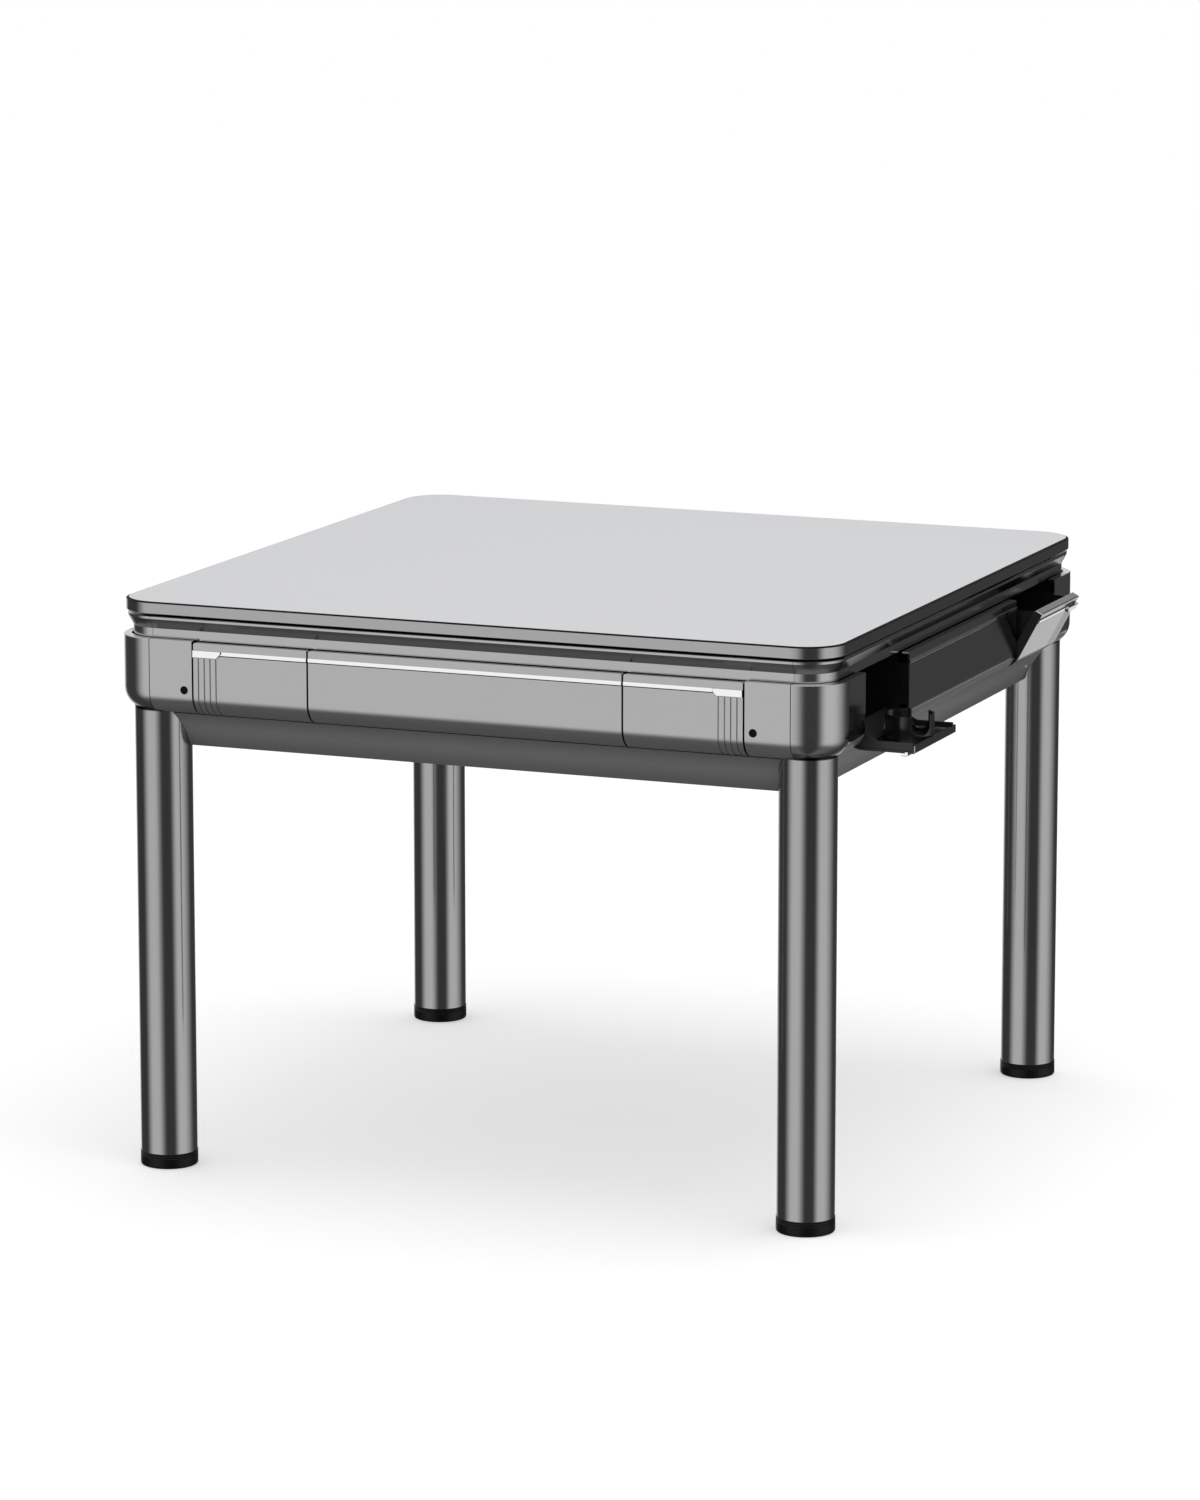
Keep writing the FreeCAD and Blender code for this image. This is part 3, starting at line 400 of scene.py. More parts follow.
@dataclass(frozen=True)
class Finish:
    """A surface finish: what the shader holds, and how its tone, gloss and relief vary.

    A single grain is the same three ways. What is higher than painted_from is black. A painted highlight
    is lighter by its third number half way between its first two, which are heights: a painted soft
    reflection.
    """
    name: str
    colour: Triple
    metallic: float
    roughness: float
    grain: float | Triple
    tone: float
    spread: float
    relief: float
    film: float = 0.0
    scuffs: float = 0.0
    coat: float = 0.0
    ior: float = 1.5
    felt: bool = False
    painted_from: float | None = None
    band: Triple | None = None

    def build(self, patterns: Patterns) -> bpy.types.Material:
        """Make the material, procedural on Object coordinates, with the shared node groups."""
        material, wires = new_material(self.name)
        shader = wires.feed(wires.tree.nodes["Principled BSDF"], {
            "Metallic": self.metallic, "Coat Weight": self.coat, "Coat Roughness": 0.12,
            "Sheen Weight": 0.1 * self.felt, "Sheen Roughness": 0.5, "IOR": self.ior})
        at = wires.node("TexCoord").outputs["Object"]
        grain = self.grain if isinstance(self.grain, tuple) else (self.grain,) * 3
        base = wires.group(patterns.grain, {
            "Vector": at, "Colour": (*self.colour, 1.0), "Grain": grain, "Tone": self.tone,
            "Roughness": self.roughness, "Spread": self.spread})
        colour, rough, relief = base["Colour"], base["Roughness"], base["Height"]
        if self.felt:
            fibres = wires.group(patterns.fibres, {"Vector": at, "Colour": colour, "Tone": 0.9})
            colour, relief = fibres["Colour"], fibres["Height"]
        if self.scuffs:
            rough = wires.group(patterns.scuffs, {
                "Vector": at, "Roughness": rough, "Amount": self.scuffs,
                "Grain": tuple(g * 0.5 for g in grain)})["Roughness"]
        if self.film:
            film = wires.group(patterns.film, {
                "Vector": at, "Colour": colour, "Roughness": rough, "Amount": self.film})
            colour, rough = film["Colour"], film["Roughness"]
        if self.painted_from is not None:
            painted = wires.step(wires.height(at), self.painted_from, self.painted_from + PAINT_EDGE)
            colour = wires.blend(painted, colour, PAINT)
        # Painted highlight: lighter colour between two heights, a painted soft reflection on the skirts.
        if self.band is not None:
            low, high, gain = self.band
            middle, z = (low + high) / 2, wires.height(at)
            near = wires.less(wires.step(z, low, middle), wires.step(z, middle, high))
            colour = wires.tint(colour, near, gain)
        bump = wires.node("Bump", {"Height": relief, "Strength": self.relief, "Distance": RELIEF_DEPTH})
        wires.feed(shader, {"Base Color": colour, "Roughness": rough, "Normal": bump.outputs["Normal"]})
        return material


@dataclass(frozen=True)
class ClearFinish:
    """A clear moulding, whose gloss alone varies."""
    name: str
    colour: Triple
    roughness: float = 0.03

    def build(self, patterns: Patterns) -> bpy.types.Material:
        """Make the material: a plain glass shader with a trace of handling in its gloss."""
        material, wires = new_material(self.name)
        smear = wires.step(wires.noise(wires.node("TexCoord").outputs["Object"], 30.0, 5.0), 0.45, 0.8)
        wires.feed(wires.tree.nodes["Principled BSDF"], {
            "Base Color": (*self.colour, 1.0), "Transmission Weight": 1.0, "IOR": 1.49,
            "Roughness": wires.add(wires.times(smear, 0.1), self.roughness)})
        return material


ALONG = (14.0, 14.0, 2600.0)
UPRIGHT = (1500.0, 1500.0, 3.0)
# Name, colour, metallic, roughness, grain, tone, spread, relief, film, scuffs and coat.
FINISHES = (
    Finish("laminate", (0.60, 0.605, 0.622), 0.0, 0.42, 1400.0, 0.03, 0.1, 0.03, 0.0, 0.15),
    Finish("silvered", (0.42, 0.42, 0.422), 1.0, 0.15, ALONG, 0.05, 0.07, 0.012, 0.0, 0.3),
    Finish("silvered_band", (0.37, 0.37, 0.373), 1.0, 0.14, ALONG, 0.05, 0.07, 0.012, 0.0, 0.3),
    Finish("tube_metal", (0.375, 0.375, 0.378), 1.0, 0.13, UPRIGHT, 0.05, 0.06, 0.01, 0.0, 0.3,
           painted_from=0.6175),
    # A darker copy of silvered, a painted shade: it darkens the rim's slopes, the fronts' top lips and
    # flutes and the end panels' tops.
    Finish("silvered_painted_shade", (0.26, 0.26, 0.262), 1.0, 0.22, ALONG, 0.05, 0.07, 0.012),
    # A dark satin grey that is painted shade: it stands in for the dark reflections of the skirts and of
    # the bends' undersides, with a painted highlight across the skirts.
    Finish("satin_grey", (0.110, 0.110, 0.112), 0.0, 0.42, ALONG, 0.1, 0.1, 0.02, 0.03, 0.4,
           band=(0.568, 0.622, 0.5)),
    Finish("bright_chrome", (0.88, 0.88, 0.89), 1.0, 0.07, 300.0, 0.03, 0.05, 0.006, 0.0, 0.4),
    Finish("black_moulding", (0.012, 0.012, 0.013), 0.0, 0.33, 1800.0, 0.2, 0.14, 0.08, 0.03, 0.4),
    Finish("black_gloss", (0.010, 0.010, 0.011), 0.0, 0.2, 900.0, 0.15, 0.12, 0.02, 0.02, 0.5, 0.3),
    # Near black for sockets; also painted shade on the cover's sides, its edge band's top chamfer and
    # the trims' undersides.
    Finish("socket_black_and_painted_shade", (0.003, 0.003, 0.003), 0.0, 0.6, 1500.0, 0.3, 0.2, 0.05, ior=1.2),
    Finish("foot_rubber", (0.005, 0.005, 0.005), 0.0, 0.32, 1500.0, 0.3, 0.15, 0.1, 0.02, 0.6, ior=1.25),
    Finish("coated_steel", (0.03, 0.03, 0.032), 0.0, 0.4, 1100.0, 0.2, 0.15, 0.12, 0.1),
    Finish("blackened_steel", (0.10, 0.10, 0.103), 1.0, 0.34, 700.0, 0.2, 0.15, 0.05, 0.05),
    Finish("zinc_plate", (0.55, 0.55, 0.53), 1.0, 0.3, (60.0, 60.0, 700.0), 0.25, 0.2, 0.04, 0.0, 0.6),
    Finish("fibre_board", (0.36, 0.24, 0.14), 0.0, 0.75, 700.0, 0.5, 0.1, 0.2),
    Finish("green_felt", (0.030, 0.15, 0.095), 0.0, 0.9, 900.0, 0.2, 0.05, 0.5, ior=1.2, felt=True),
    Finish("black_felt", (0.02, 0.02, 0.022), 0.0, 0.9, 900.0, 0.2, 0.05, 0.5, ior=1.2, felt=True),
    Finish("die_resin", (0.82, 0.80, 0.76), 0.0, 0.22, 500.0, 0.03, 0.08, 0.02, 0.0, 0.3, 0.3),
    Finish("pip_ink", (0.02, 0.02, 0.022), 0.0, 0.35, 900.0, 0.1, 0.1, 0.02),
    Finish("red_button", (0.50, 0.035, 0.03), 0.0, 0.28, 900.0, 0.08, 0.1, 0.02, 0.0, 0.4, 0.3),
    Finish("green_button", (0.03, 0.30, 0.09), 0.0, 0.28, 900.0, 0.08, 0.1, 0.02, 0.0, 0.4, 0.3),
    Finish("nylon", (0.58, 0.56, 0.50), 0.0, 0.5, 900.0, 0.08, 0.1, 0.05, 0.1),
    Finish("tub_moulding", (0.66, 0.65, 0.61), 0.0, 0.45, 1200.0, 0.06, 0.1, 0.05, 0.1, 0.5),
    Finish("disc_rubber", (0.03, 0.03, 0.032), 0.0, 0.7, 1500.0, 0.3, 0.1, 0.3, 0.1),
    Finish("cast_alloy", (0.50, 0.51, 0.53), 1.0, 0.45, 500.0, 0.2, 0.15, 0.3),
    ClearFinish("clear_moulding", (0.96, 0.98, 0.98)),
)


class FinishShop:
    """Every finish's material, by name."""

    def __init__(self) -> None:
        """Build the patterns and the materials."""
        patterns = Patterns()
        self.materials = {finish.name: finish.build(patterns) for finish in FINISHES}

    def coat(self, piece: Piece, *names: str, choose: Chooser | None = None) -> None:
        """Give a piece its materials.

        Args:
            piece: The piece or carried-over node.
            names: The finishes, in the order that the chooser numbers them.
            choose: Takes each face's centre and normal, and returns the finish number of each.
        """
        mesh = piece.data
        mesh.materials.clear()
        for name in names:
            mesh.materials.append(self.materials[name])
        numbers = np.zeros(len(mesh.polygons), np.int32)
        if choose:
            centres, normals = np.empty((2, len(mesh.polygons) * 3))
            mesh.polygons.foreach_get("center", centres)
            mesh.polygons.foreach_get("normal", normals)
            numbers = choose(centres.reshape(-1, 3), normals.reshape(-1, 3)).astype(np.int32)
        mesh.polygons.foreach_set("material_index", numbers)
        mesh.update()


@dataclass
class Fascias:
    """The drawer and flap fronts with their bright trims, and the end panels."""
    shop: FinishShop
    top_depth: float = 0.0026
    lip_depth: float = 0.0004
    strip_depth: float = 0.0016
    flute_deep: float = 0.00125
    flute_shallow: float = 0.0003
    flute_end: float = 0.004
    cap_r: float = 0.0066
    cap_depth: float = 0.013
    cap_recess: float = 0.0005
    trim_proud: float = 0.0012
    trim_height: float = 0.0057
    trim_round: float = 0.0004
    trim_under: float = 0.0011
    trim_joint: float = 0.0006
    # Trim faces whose normal dips below this are painted black as painted shade.
    joint_faces: float = -0.4
    trim_inset: float = 0.0001
    tab_length: float = 0.040
    tab_lap: float = 0.0025

    def skin(self, side: Side, angle: float) -> Chooser:
        """Tell a front's faces apart: 0 its silvered outside, 1 the bright trim, 2 its black inside,
        3 the painted shade on its top lip and in its flutes, 4 the painted shade under its bend.

        A face's centre is brought back to the front side's closed place first. It is outside where it
        lies within 1.2 mm of the upright face, the bend or the top, and in a flute where it is about
        1 mm behind the upright face.

        Args:
            side: The front's side.
            angle: How far it is swung out at rest, in radians.

        Returns:
            The chooser.
        """
        def choose(centres: Array, normals: Array) -> Array:
            """Number the faces."""
            closed = swung(side.bring_back(centres), -angle)
            behind, z = SIZES.face_u + closed[:, 1], closed[:, 2]
            facing = leaned(side.bring_back(normals), -angle)
            along = np.abs(facing[:, 0]) > UPRIGHT_FROM
            run, drop = SIZES.bend_r - behind, SIZES.bend_z - z
            on_bend = (drop > 0) & (np.hypot(run, drop) > SIZES.bend_r - SKIN_DEPTH)
            under = on_bend & (drop > UNDER_SLOPE * run)
            ends = np.abs(closed[:, 0])
            at_end = along & ((ends < ends.min() + NEAR) | (ends > ends.max() - NEAR))
            from_top = SIZES.fascia_top_z - z
            outside = (behind < SKIN_DEPTH) | on_bend | (from_top < self.top_depth)
            in_strip = (z > SIZES.strip_low_z - NEAR) & (z < SIZES.strip_top_z + NEAR)
            bright = (behind < -NEAR / 2) | (in_strip & along & (behind < self.strip_depth))
            lip = (from_top < self.lip_depth) & (facing[:, 2] > UPRIGHT_FROM)
            flute = (behind < self.flute_deep) & (behind > self.flute_shallow) & ~at_end
            flute &= (drop < self.flute_end) & (from_top > self.flute_end)
            # Groups 3 and 4 are painted shade: the top lip, the flutes and the bend's underside are
            # darkened.
            groups = [bright, at_end, lip | flute, under, outside]
            return np.select(groups, [1, 2, 3, 4, 0], 2)
        return choose

    def plugs(self, centres: Array, normals: Array) -> Array:
        """Tell the end panels (0) from their screw caps (1), and the painted shade under their bend (2)
        and on their top (3).
        """
        # The tops get painted shade, so that the rim's slope over them reflects them dark.
        on_top = (normals[:, 2] > UPRIGHT_FROM) & (centres[:, 2] > SIZES.fascia_top_z - self.lip_depth)
        numbers = np.where(on_top, 3, 0)
        for side in Side:
            local = side.bring_back(centres)
            from_axis = np.hypot(np.abs(local[:, 0]) - SIZES.hole_x, local[:, 2] - SIZES.hole_z)
            behind = SIZES.face_u + local[:, 1]
            in_hole = (behind < self.cap_depth) & (behind > self.cap_recess)
            numbers[in_hole & (from_axis < self.cap_r)] = 1
            # The bend's underside gets painted shade.
            run, drop = SIZES.bend_r - behind, SIZES.bend_z - local[:, 2]
            inside = np.abs(local[:, 0]) < SIZES.corner_x
            numbers[inside & (run > 0) & (drop > UNDER_SLOPE * run)
                    & (np.hypot(run, drop) > SIZES.bend_r - SKIN_DEPTH)] = 2
        return numbers

    def trim(self, side: Side, label: str, ends: Pair, angle: float) -> None:
        """Lay the polished trim over a front's bright strip: a bar, rounder below, over a dark seam. Its
        faces that face down are painted black, a painted shade.

        Args:
            side: The front's side.
            label: The kind of front, as in the names of its bodies.
            ends: Where the trim starts and ends in x.
            angle: How far the front is swung out at rest, in radians.
        """
        front, top = SIZES.face_u + self.trim_proud, SIZES.strip_top_z
        r, under = self.trim_round, self.trim_under
        back, low = SIZES.face_u - r, top - self.trim_height
        foot = low - self.trim_joint
        section = np.concatenate([[[back, foot], [front - under, foot]],
                                  arc((front - under, low + under), under, -90, 0, 7),
                                  arc((front - r, top - r), r, 0, 90, 5), [[back, top]]])
        middle = section.mean(0) + 0 * section
        loops = ((ends[0], middle), (ends[0], section), (ends[1], section), (ends[1], middle))
        points = np.concatenate([stacked(x, -loop[:, 0], loop[:, 1]) for x, loop in loops])
        piece = mesh_object(f"{label}_trim_{side.label}", side.place(swung(points, angle)),
                            grid_faces(len(loops), len(section), False, True))
        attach(piece, f"{label}_{side.label}")

        def joint(centres: Array, normals: Array) -> Array:
            """Tell the dark seam, and the faces that face down to it, which are painted black as painted
            shade (1), from the polished rest (0).
            """
            height = swung(side.bring_back(centres), -angle)[:, 2]
            return (height < low) | (leaned(side.bring_back(normals), -angle)[:, 2] < self.joint_faces)
        self.shop.coat(piece, "bright_chrome", "socket_black_and_painted_shade", choose=joint)

    def build(self) -> None:
        """Coat the fronts and panels of all four sides, and lay their trims."""
        nodes = frame["nodes"]
        half_gap = SIZES.panel_gap / 2
        inner, outer = SIZES.centre_split + half_gap, SIZES.side_split - half_gap
        drawer_end = SIZES.centre_split - half_gap - self.trim_inset
        tab_end, flap_end = outer - self.tab_length + self.tab_lap, inner + self.trim_inset
        for side in Side:
            names = ("silvered", "bright_chrome", "black_moulding", "silvered_painted_shade", "satin_grey")
            self.shop.coat(nodes[f"drawer_front_{side.label}"], *names, choose=self.skin(side, 0.0))
            self.trim(side, "drawer", (-drawer_end, drawer_end), 0.0)
            for flap, ends in ((Flap.CUP, (-tab_end, -flap_end)), (Flap.TRAY, (flap_end, tab_end))):
                angle = flap.rest_angle(side)
                self.shop.coat(nodes[f"{flap.label}_flap_{side.label}"], *names,
                               choose=self.skin(side, angle))
                self.trim(side, flap.label, ends, angle)
        self.shop.coat(nodes["end_panels"], "silvered", "socket_black_and_painted_shade", "satin_grey", "silvered_painted_shade",
                       choose=self.plugs)


@dataclass
class Linings:
    """The liners, mats and frames inside the drawers and flaps of each side."""
    shop: FinishShop
    cup_x: float = 0.301
    cup_z: float = 0.679
    cup_r: float = 0.033
    frame_half: float = 0.0735
    frame_low_z: float = 0.6475
    frame_high_z: float = 0.7115
    frame_proud: float = 0.0045
    frame_gap: float = 0.0004
    cup_floor: float = 0.003
    mat_r: float = 0.0298
    mat_thick: float = 0.0016
    mat_round: float = 0.001
    mat_sunk: float = 0.0001
    mat_rings: int = 5
    liner_half: float = 0.2082
    liner_back_u: float = 0.3478
    liner_front_u: float = 0.4972
    liner_floor_z: float = 0.6485
    liner_rise: float = 0.010
    liner_top: float = 0.0009
    liner_thick: float = 0.0006

    def flap_frame(self, side: Side) -> None:
        """The cup flap's inner frame: a plate from the cradle out to a raised rim.

        A point at share t from the cradle to the frame's edge lies on the line from (r cos a, r sin a)
        to where that ray meets the frame's rectangle. Its depth is a plate with a rounded ridge near
        t = 0.86.
        """
        a = full_turn(160)
        t = np.array([0.0, 0.0, 0.04, 0.5, 0.72, 0.8, 0.86, 0.93, 0.97, 1.0, 1.0])
        rise = np.array([0.0, 0.3, 0.4, 0.4, 0.42, 0.6, 1.0, 1.0, 0.85, 0.6, 0.0]) * self.frame_proud
        c, s = np.cos(a), np.sin(a)
        up, down = self.frame_high_z - self.cup_z, self.cup_z - self.frame_low_z
        half_height = np.where(s > 0, up, down)
        across, upwards = np.maximum(np.abs(c), TINY), np.maximum(np.abs(s), TINY)
        reach = np.minimum(self.frame_half / across, half_height / upwards)
        near = np.minimum(self.cup_r + self.frame_gap, reach * 0.999)
        radius = near + t[:, None] * (reach - near)
        y = rise[:, None] - (SIZES.face_u - SIZES.face_wall)
        points = stacked(radius * c - self.cup_x, y, radius * s + self.cup_z)
        piece = mesh_object(f"cup_frame_{side.label}",
                            side.place(swung(points, Flap.CUP.rest_angle(side))),
                            grid_faces(len(t), len(a), True, True), 30)
        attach(piece, f"cup_{side.label}")
        self.shop.coat(piece, "black_gloss")

    def cup_mat(self, side: Side) -> None:
        """The ribbed rubber disc in the cradle's floor.

        Its height over the floor is thick (0.6 + 0.4 cos(2 pi n r / R)), falling to nothing at the edge.
        """
        r = np.linspace(0, self.mat_r, 60)
        high = self.mat_thick * (0.6 + 0.4 * np.cos(2 * math.pi * self.mat_rings * r / self.mat_r))
        high *= np.clip((self.mat_r - r) / self.mat_round, 0, 1) ** 0.5
        profile = np.concatenate([stacked(r, high), [[self.mat_r, 0.0], [0.0, 0.0]]])
        base, faces = turned_form(profile, MIDDLE, 64)
        floor_u = SIZES.face_u - SIZES.face_wall - self.cup_floor - self.mat_sunk
        points = stacked(base[:, 0] - self.cup_x, base[:, 2] - floor_u, base[:, 1] + self.cup_z)
        points = side.place(swung(points, Flap.CUP.rest_angle(side)))
        piece = mesh_object(f"cup_mat_{side.label}", points, faces, 60)
        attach(piece, f"cup_{side.label}")
        self.shop.coat(piece, "foot_rubber")

    def drawer_liner(self, side: Side) -> None:
        """The felt liner of the drawer: a floor whose edge turns up the box's walls.

        Over the unit square, height is rise (1 - d)^2 where d is the distance from the edge in bend
        radii, up to 1, so the sheet sweeps up in a soft cove.
        """
        spans = (np.linspace(-1, 1, count) for count in (72, 40))
        sx, su = (np.sign(s) * (1 - (1 - np.abs(s)) ** 1.6) for s in spans)
        middle_u = (self.liner_back_u + self.liner_front_u) / 2
        half_u = (self.liner_front_u - self.liner_back_u) / 2
        x, u = np.meshgrid(sx * self.liner_half, middle_u + su * half_u, indexing="ij")
        edge = np.minimum(self.liner_half - np.abs(x), half_u - np.abs(u - middle_u))
        high = self.liner_rise * np.clip(1 - edge / self.liner_rise, 0, 1) ** 2
        top = stacked(x, -u, self.liner_floor_z + self.liner_top + high)
        piece = mesh_object(f"drawer_liner_{side.label}", side.place(top),
                            grid_faces(*x.shape, False, False), 60)
        thick = piece.modifiers.new("thickness", "SOLIDIFY")
        thick.thickness, thick.offset = self.liner_thick, -1.0
        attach(piece, f"drawer_{side.label}")
        self.shop.coat(piece, "black_felt")

    def build(self) -> None:
        """Make and place every lining."""
        for side in Side:
            self.flap_frame(side)
            self.cup_mat(side)
            self.drawer_liner(side)


@dataclass
class Feet:
    """The four black feet under the leg tubes."""
    shop: FinishShop
    sole_r: float = 0.0382
    height: float = 0.020
    plug_r: float = 0.0350
    plug_top_z: float = 0.045
    corner_r: float = 0.0028
    groove_depth: float = 0.0007
    groove_half: float = 0.0006
    grooves: Pair = (0.0145, 0.0175)
    wall_z: Pair = (0.004, 0.0188)
    shoulder_r: float = 0.0010
    plug_wall: float = 0.003

    def build(self) -> None:
        """Turn the feet: a rounded sole, a wall with two fine grooves, and the plug inside the tube.

        The wall's radius is R - depth * sum of exp(-((z - zi) / w)^2) over the groove heights zi.
        """
        sole = arc((self.sole_r - self.corner_r, self.corner_r), self.corner_r, -90, 0, 8)
        z = np.linspace(*self.wall_z, 40)
        dips = sum(np.exp(-((z - at) / self.groove_half) ** 2) for at in self.grooves)
        wall = stacked(self.sole_r - self.groove_depth * dips, z)
        r, inner_r = self.shoulder_r, self.plug_r - self.plug_wall
        shoulder = arc((self.sole_r - r, self.height - r), r, 15, 90, 5)
        top, plug_top = self.height, self.plug_top_z
        plug = np.array([[self.plug_r, top], [self.plug_r, plug_top], [inner_r, plug_top],
                         [inner_r, top], [0.0, top], [0.0, 0.0]])
        profile = np.concatenate([sole, wall, shoulder, plug])
        c = SIZES.leg_centre
        centres = np.array([[c, -c], [c, c], [-c, c], [-c, -c]])
        piece = mesh_object("feet", *turned_form(profile, centres, 96))
        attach(piece, "root")
        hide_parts("foot_caps")
        self.shop.coat(piece, "foot_rubber")


@dataclass
class PlaySurface:
    """The felt of the play surface, on its board. Its points and faces are put in order along a line,
    as the bevel leaves them in another order each run."""
    shop: FinishShop
    half: float = 0.465
    area: float = 0.7306
    rims_above_z: float = 0.7338
    order: Triple = (1.0, 0.7368, 0.0917)
    edge_r: float = 0.0005

    def build(self) -> None:
        """Carry the frame's cloth over as its own piece, with its cut edges rounded by the pile."""
        work = bmesh.new()
        work.from_mesh(frame["nodes"]["play_cloth"].data)
        bmesh.ops.remove_doubles(work, verts=work.verts, dist=MERGE)
        bmesh.ops.dissolve_limit(work, angle_limit=math.radians(1), verts=work.verts, edges=work.edges)
        rims = [e for e in work.edges if len(e.link_faces) == 2 and e.calc_face_angle(0) > 1.0
                and min(v.co.z for v in e.verts) > self.rims_above_z]
        bmesh.ops.bevel(work, geom=rims, offset=self.edge_r, segments=3, affect="EDGES", profile=0.5)
        bmesh.ops.triangulate(work, faces=work.faces)
        work.verts.sort(key=lambda v: v.co.dot(self.order))
        work.faces.sort(key=lambda f: f.calc_center_median().dot(self.order))
        piece = place_mesh(bpy.data.meshes.new("play_felt"), work, 20)
        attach(piece, "root")
        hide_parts("play_cloth")
        self.shop.coat(piece, "green_felt")


@dataclass
class Console:
    """The middle console's lid, dice marks, button bezels and trim ring."""
    shop: FinishShop
    lid_r: float = 0.04885
    lid_inner_r: float = 0.047
    lid_rise: float = 0.0064
    lid_wall: float = 0.0014
    lid_step: float = 0.0002
    lid_sunk: float = 0.0014
    ring_r: float = 0.0905
    bead_r: float = 0.0007
    bead_lift: float = 0.00005
    bezel_r: float = 0.0108
    bezel_half: float = 0.0009
    bezel_sunk: float = 0.0001
    button_x: float = 0.072
    die_half: float = 0.007
    die_floor_z: float = 0.724
    pip_r: float = 0.0011
    pip_height: float = 0.00012
    dice_places: tuple[Triple, ...] = ((-0.014, -0.007, 18.0), (0.014, 0.007, 61.0))

    def lid(self) -> None:
        """The clear lid: z is base + rise cos(pi r / 2R)^0.8 outside, and less by the wall inside."""
        top = SIZES.console_top_z
        t = np.linspace(0, 1, 36)
        crown = np.cos(t * math.pi / 2) ** 0.8
        outer = stacked(t * self.lid_r, top + self.lid_rise * crown)
        ceiling = top - self.lid_step + (self.lid_rise - self.lid_wall) * crown
        inner = stacked(t * self.lid_inner_r, ceiling)[::-1]
        foot = np.array([[self.lid_r, top - self.lid_sunk], [self.lid_inner_r, top - self.lid_sunk]])
        piece = mesh_object("dice_lid", *turned_form(np.concatenate([outer, foot, inner]), MIDDLE, 96))
        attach(piece, "console")
        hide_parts("dice_dome")
        self.shop.coat(piece, "clear_moulding")

    def rings(self) -> None:
        """The bright trim ring and the two button bezels, each a round bead turned about its line."""
        top = SIZES.console_top_z
        bead = arc((self.ring_r, top + self.bead_lift), self.bead_r, 0, 350, 16)
        points, faces = turned_form(bead, MIDDLE, 120)
        r, low = self.bezel_r, top - self.bezel_sunk
        bezel = np.concatenate([arc((r, top), self.bezel_half, 0, 180, 10),
                                [[r - self.bezel_half, low], [r + self.bezel_half, low]]])
        buttons = np.array([[-self.button_x, 0.0], [self.button_x, 0.0]])
        more, more_faces = turned_form(bezel, buttons, 48)
        piece = mesh_object("console_rings", np.concatenate([points, more]),
                            np.concatenate([faces, more_faces + len(points)]), 60)
        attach(piece, "console")
        self.shop.coat(piece, "bright_chrome")

    def pips(self) -> None:
        """The marks of the two dice: shallow round caps. Opposite faces add to seven."""
        step = self.die_half * 0.5
        one, two = [(0, 0)], [(-step, -step), (step, step)]
        four = two + [(-step, step), (step, -step)]
        spots = {1: one, 2: two, 3: one + two, 4: four, 5: one + four, 6: four + [(-step, 0), (step, 0)]}
        x_axis, y_axis, z_axis = np.eye(3)
        ways = {}
        for low, normal, across in ((1, z_axis, x_axis), (2, x_axis, y_axis), (3, y_axis, z_axis)):
            ways |= {low: (normal, across), 7 - low: (-normal, across)}
        r = np.array([0.0, 0.5, 0.85, 1.0, 1.0])[:, None] * self.pip_r
        high = np.array([1.0, 0.85, 0.5, 0.1, -0.6])[:, None] * self.pip_height
        a = full_turn(14)
        cap = stacked(r * np.cos(a), r * np.sin(a), high)
        quads = grid_faces(len(r), len(a), False, True)
        points, faces = [], []
        for x, y, turn in self.dice_places:
            spin = turn_about_z(turn)
            middle = np.array([x, y, self.die_floor_z + self.die_half])
            for number, (normal, across) in ways.items():
                other = np.cross(normal, across)
                basis = np.stack([across, other, normal])
                for p, q in spots[number]:
                    local = cap @ basis + across * p + other * q + normal * self.die_half
                    faces.append(quads + len(cap) * len(points))
                    points.append(local @ spin + middle)
        piece = mesh_object("dice_marks", np.concatenate(points), np.concatenate(faces), 60)
        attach(piece, "console")
        self.shop.coat(piece, "pip_ink")

    def build(self) -> None:
        """Make the console's pieces."""
        self.lid()
        self.rings()
        self.pips()


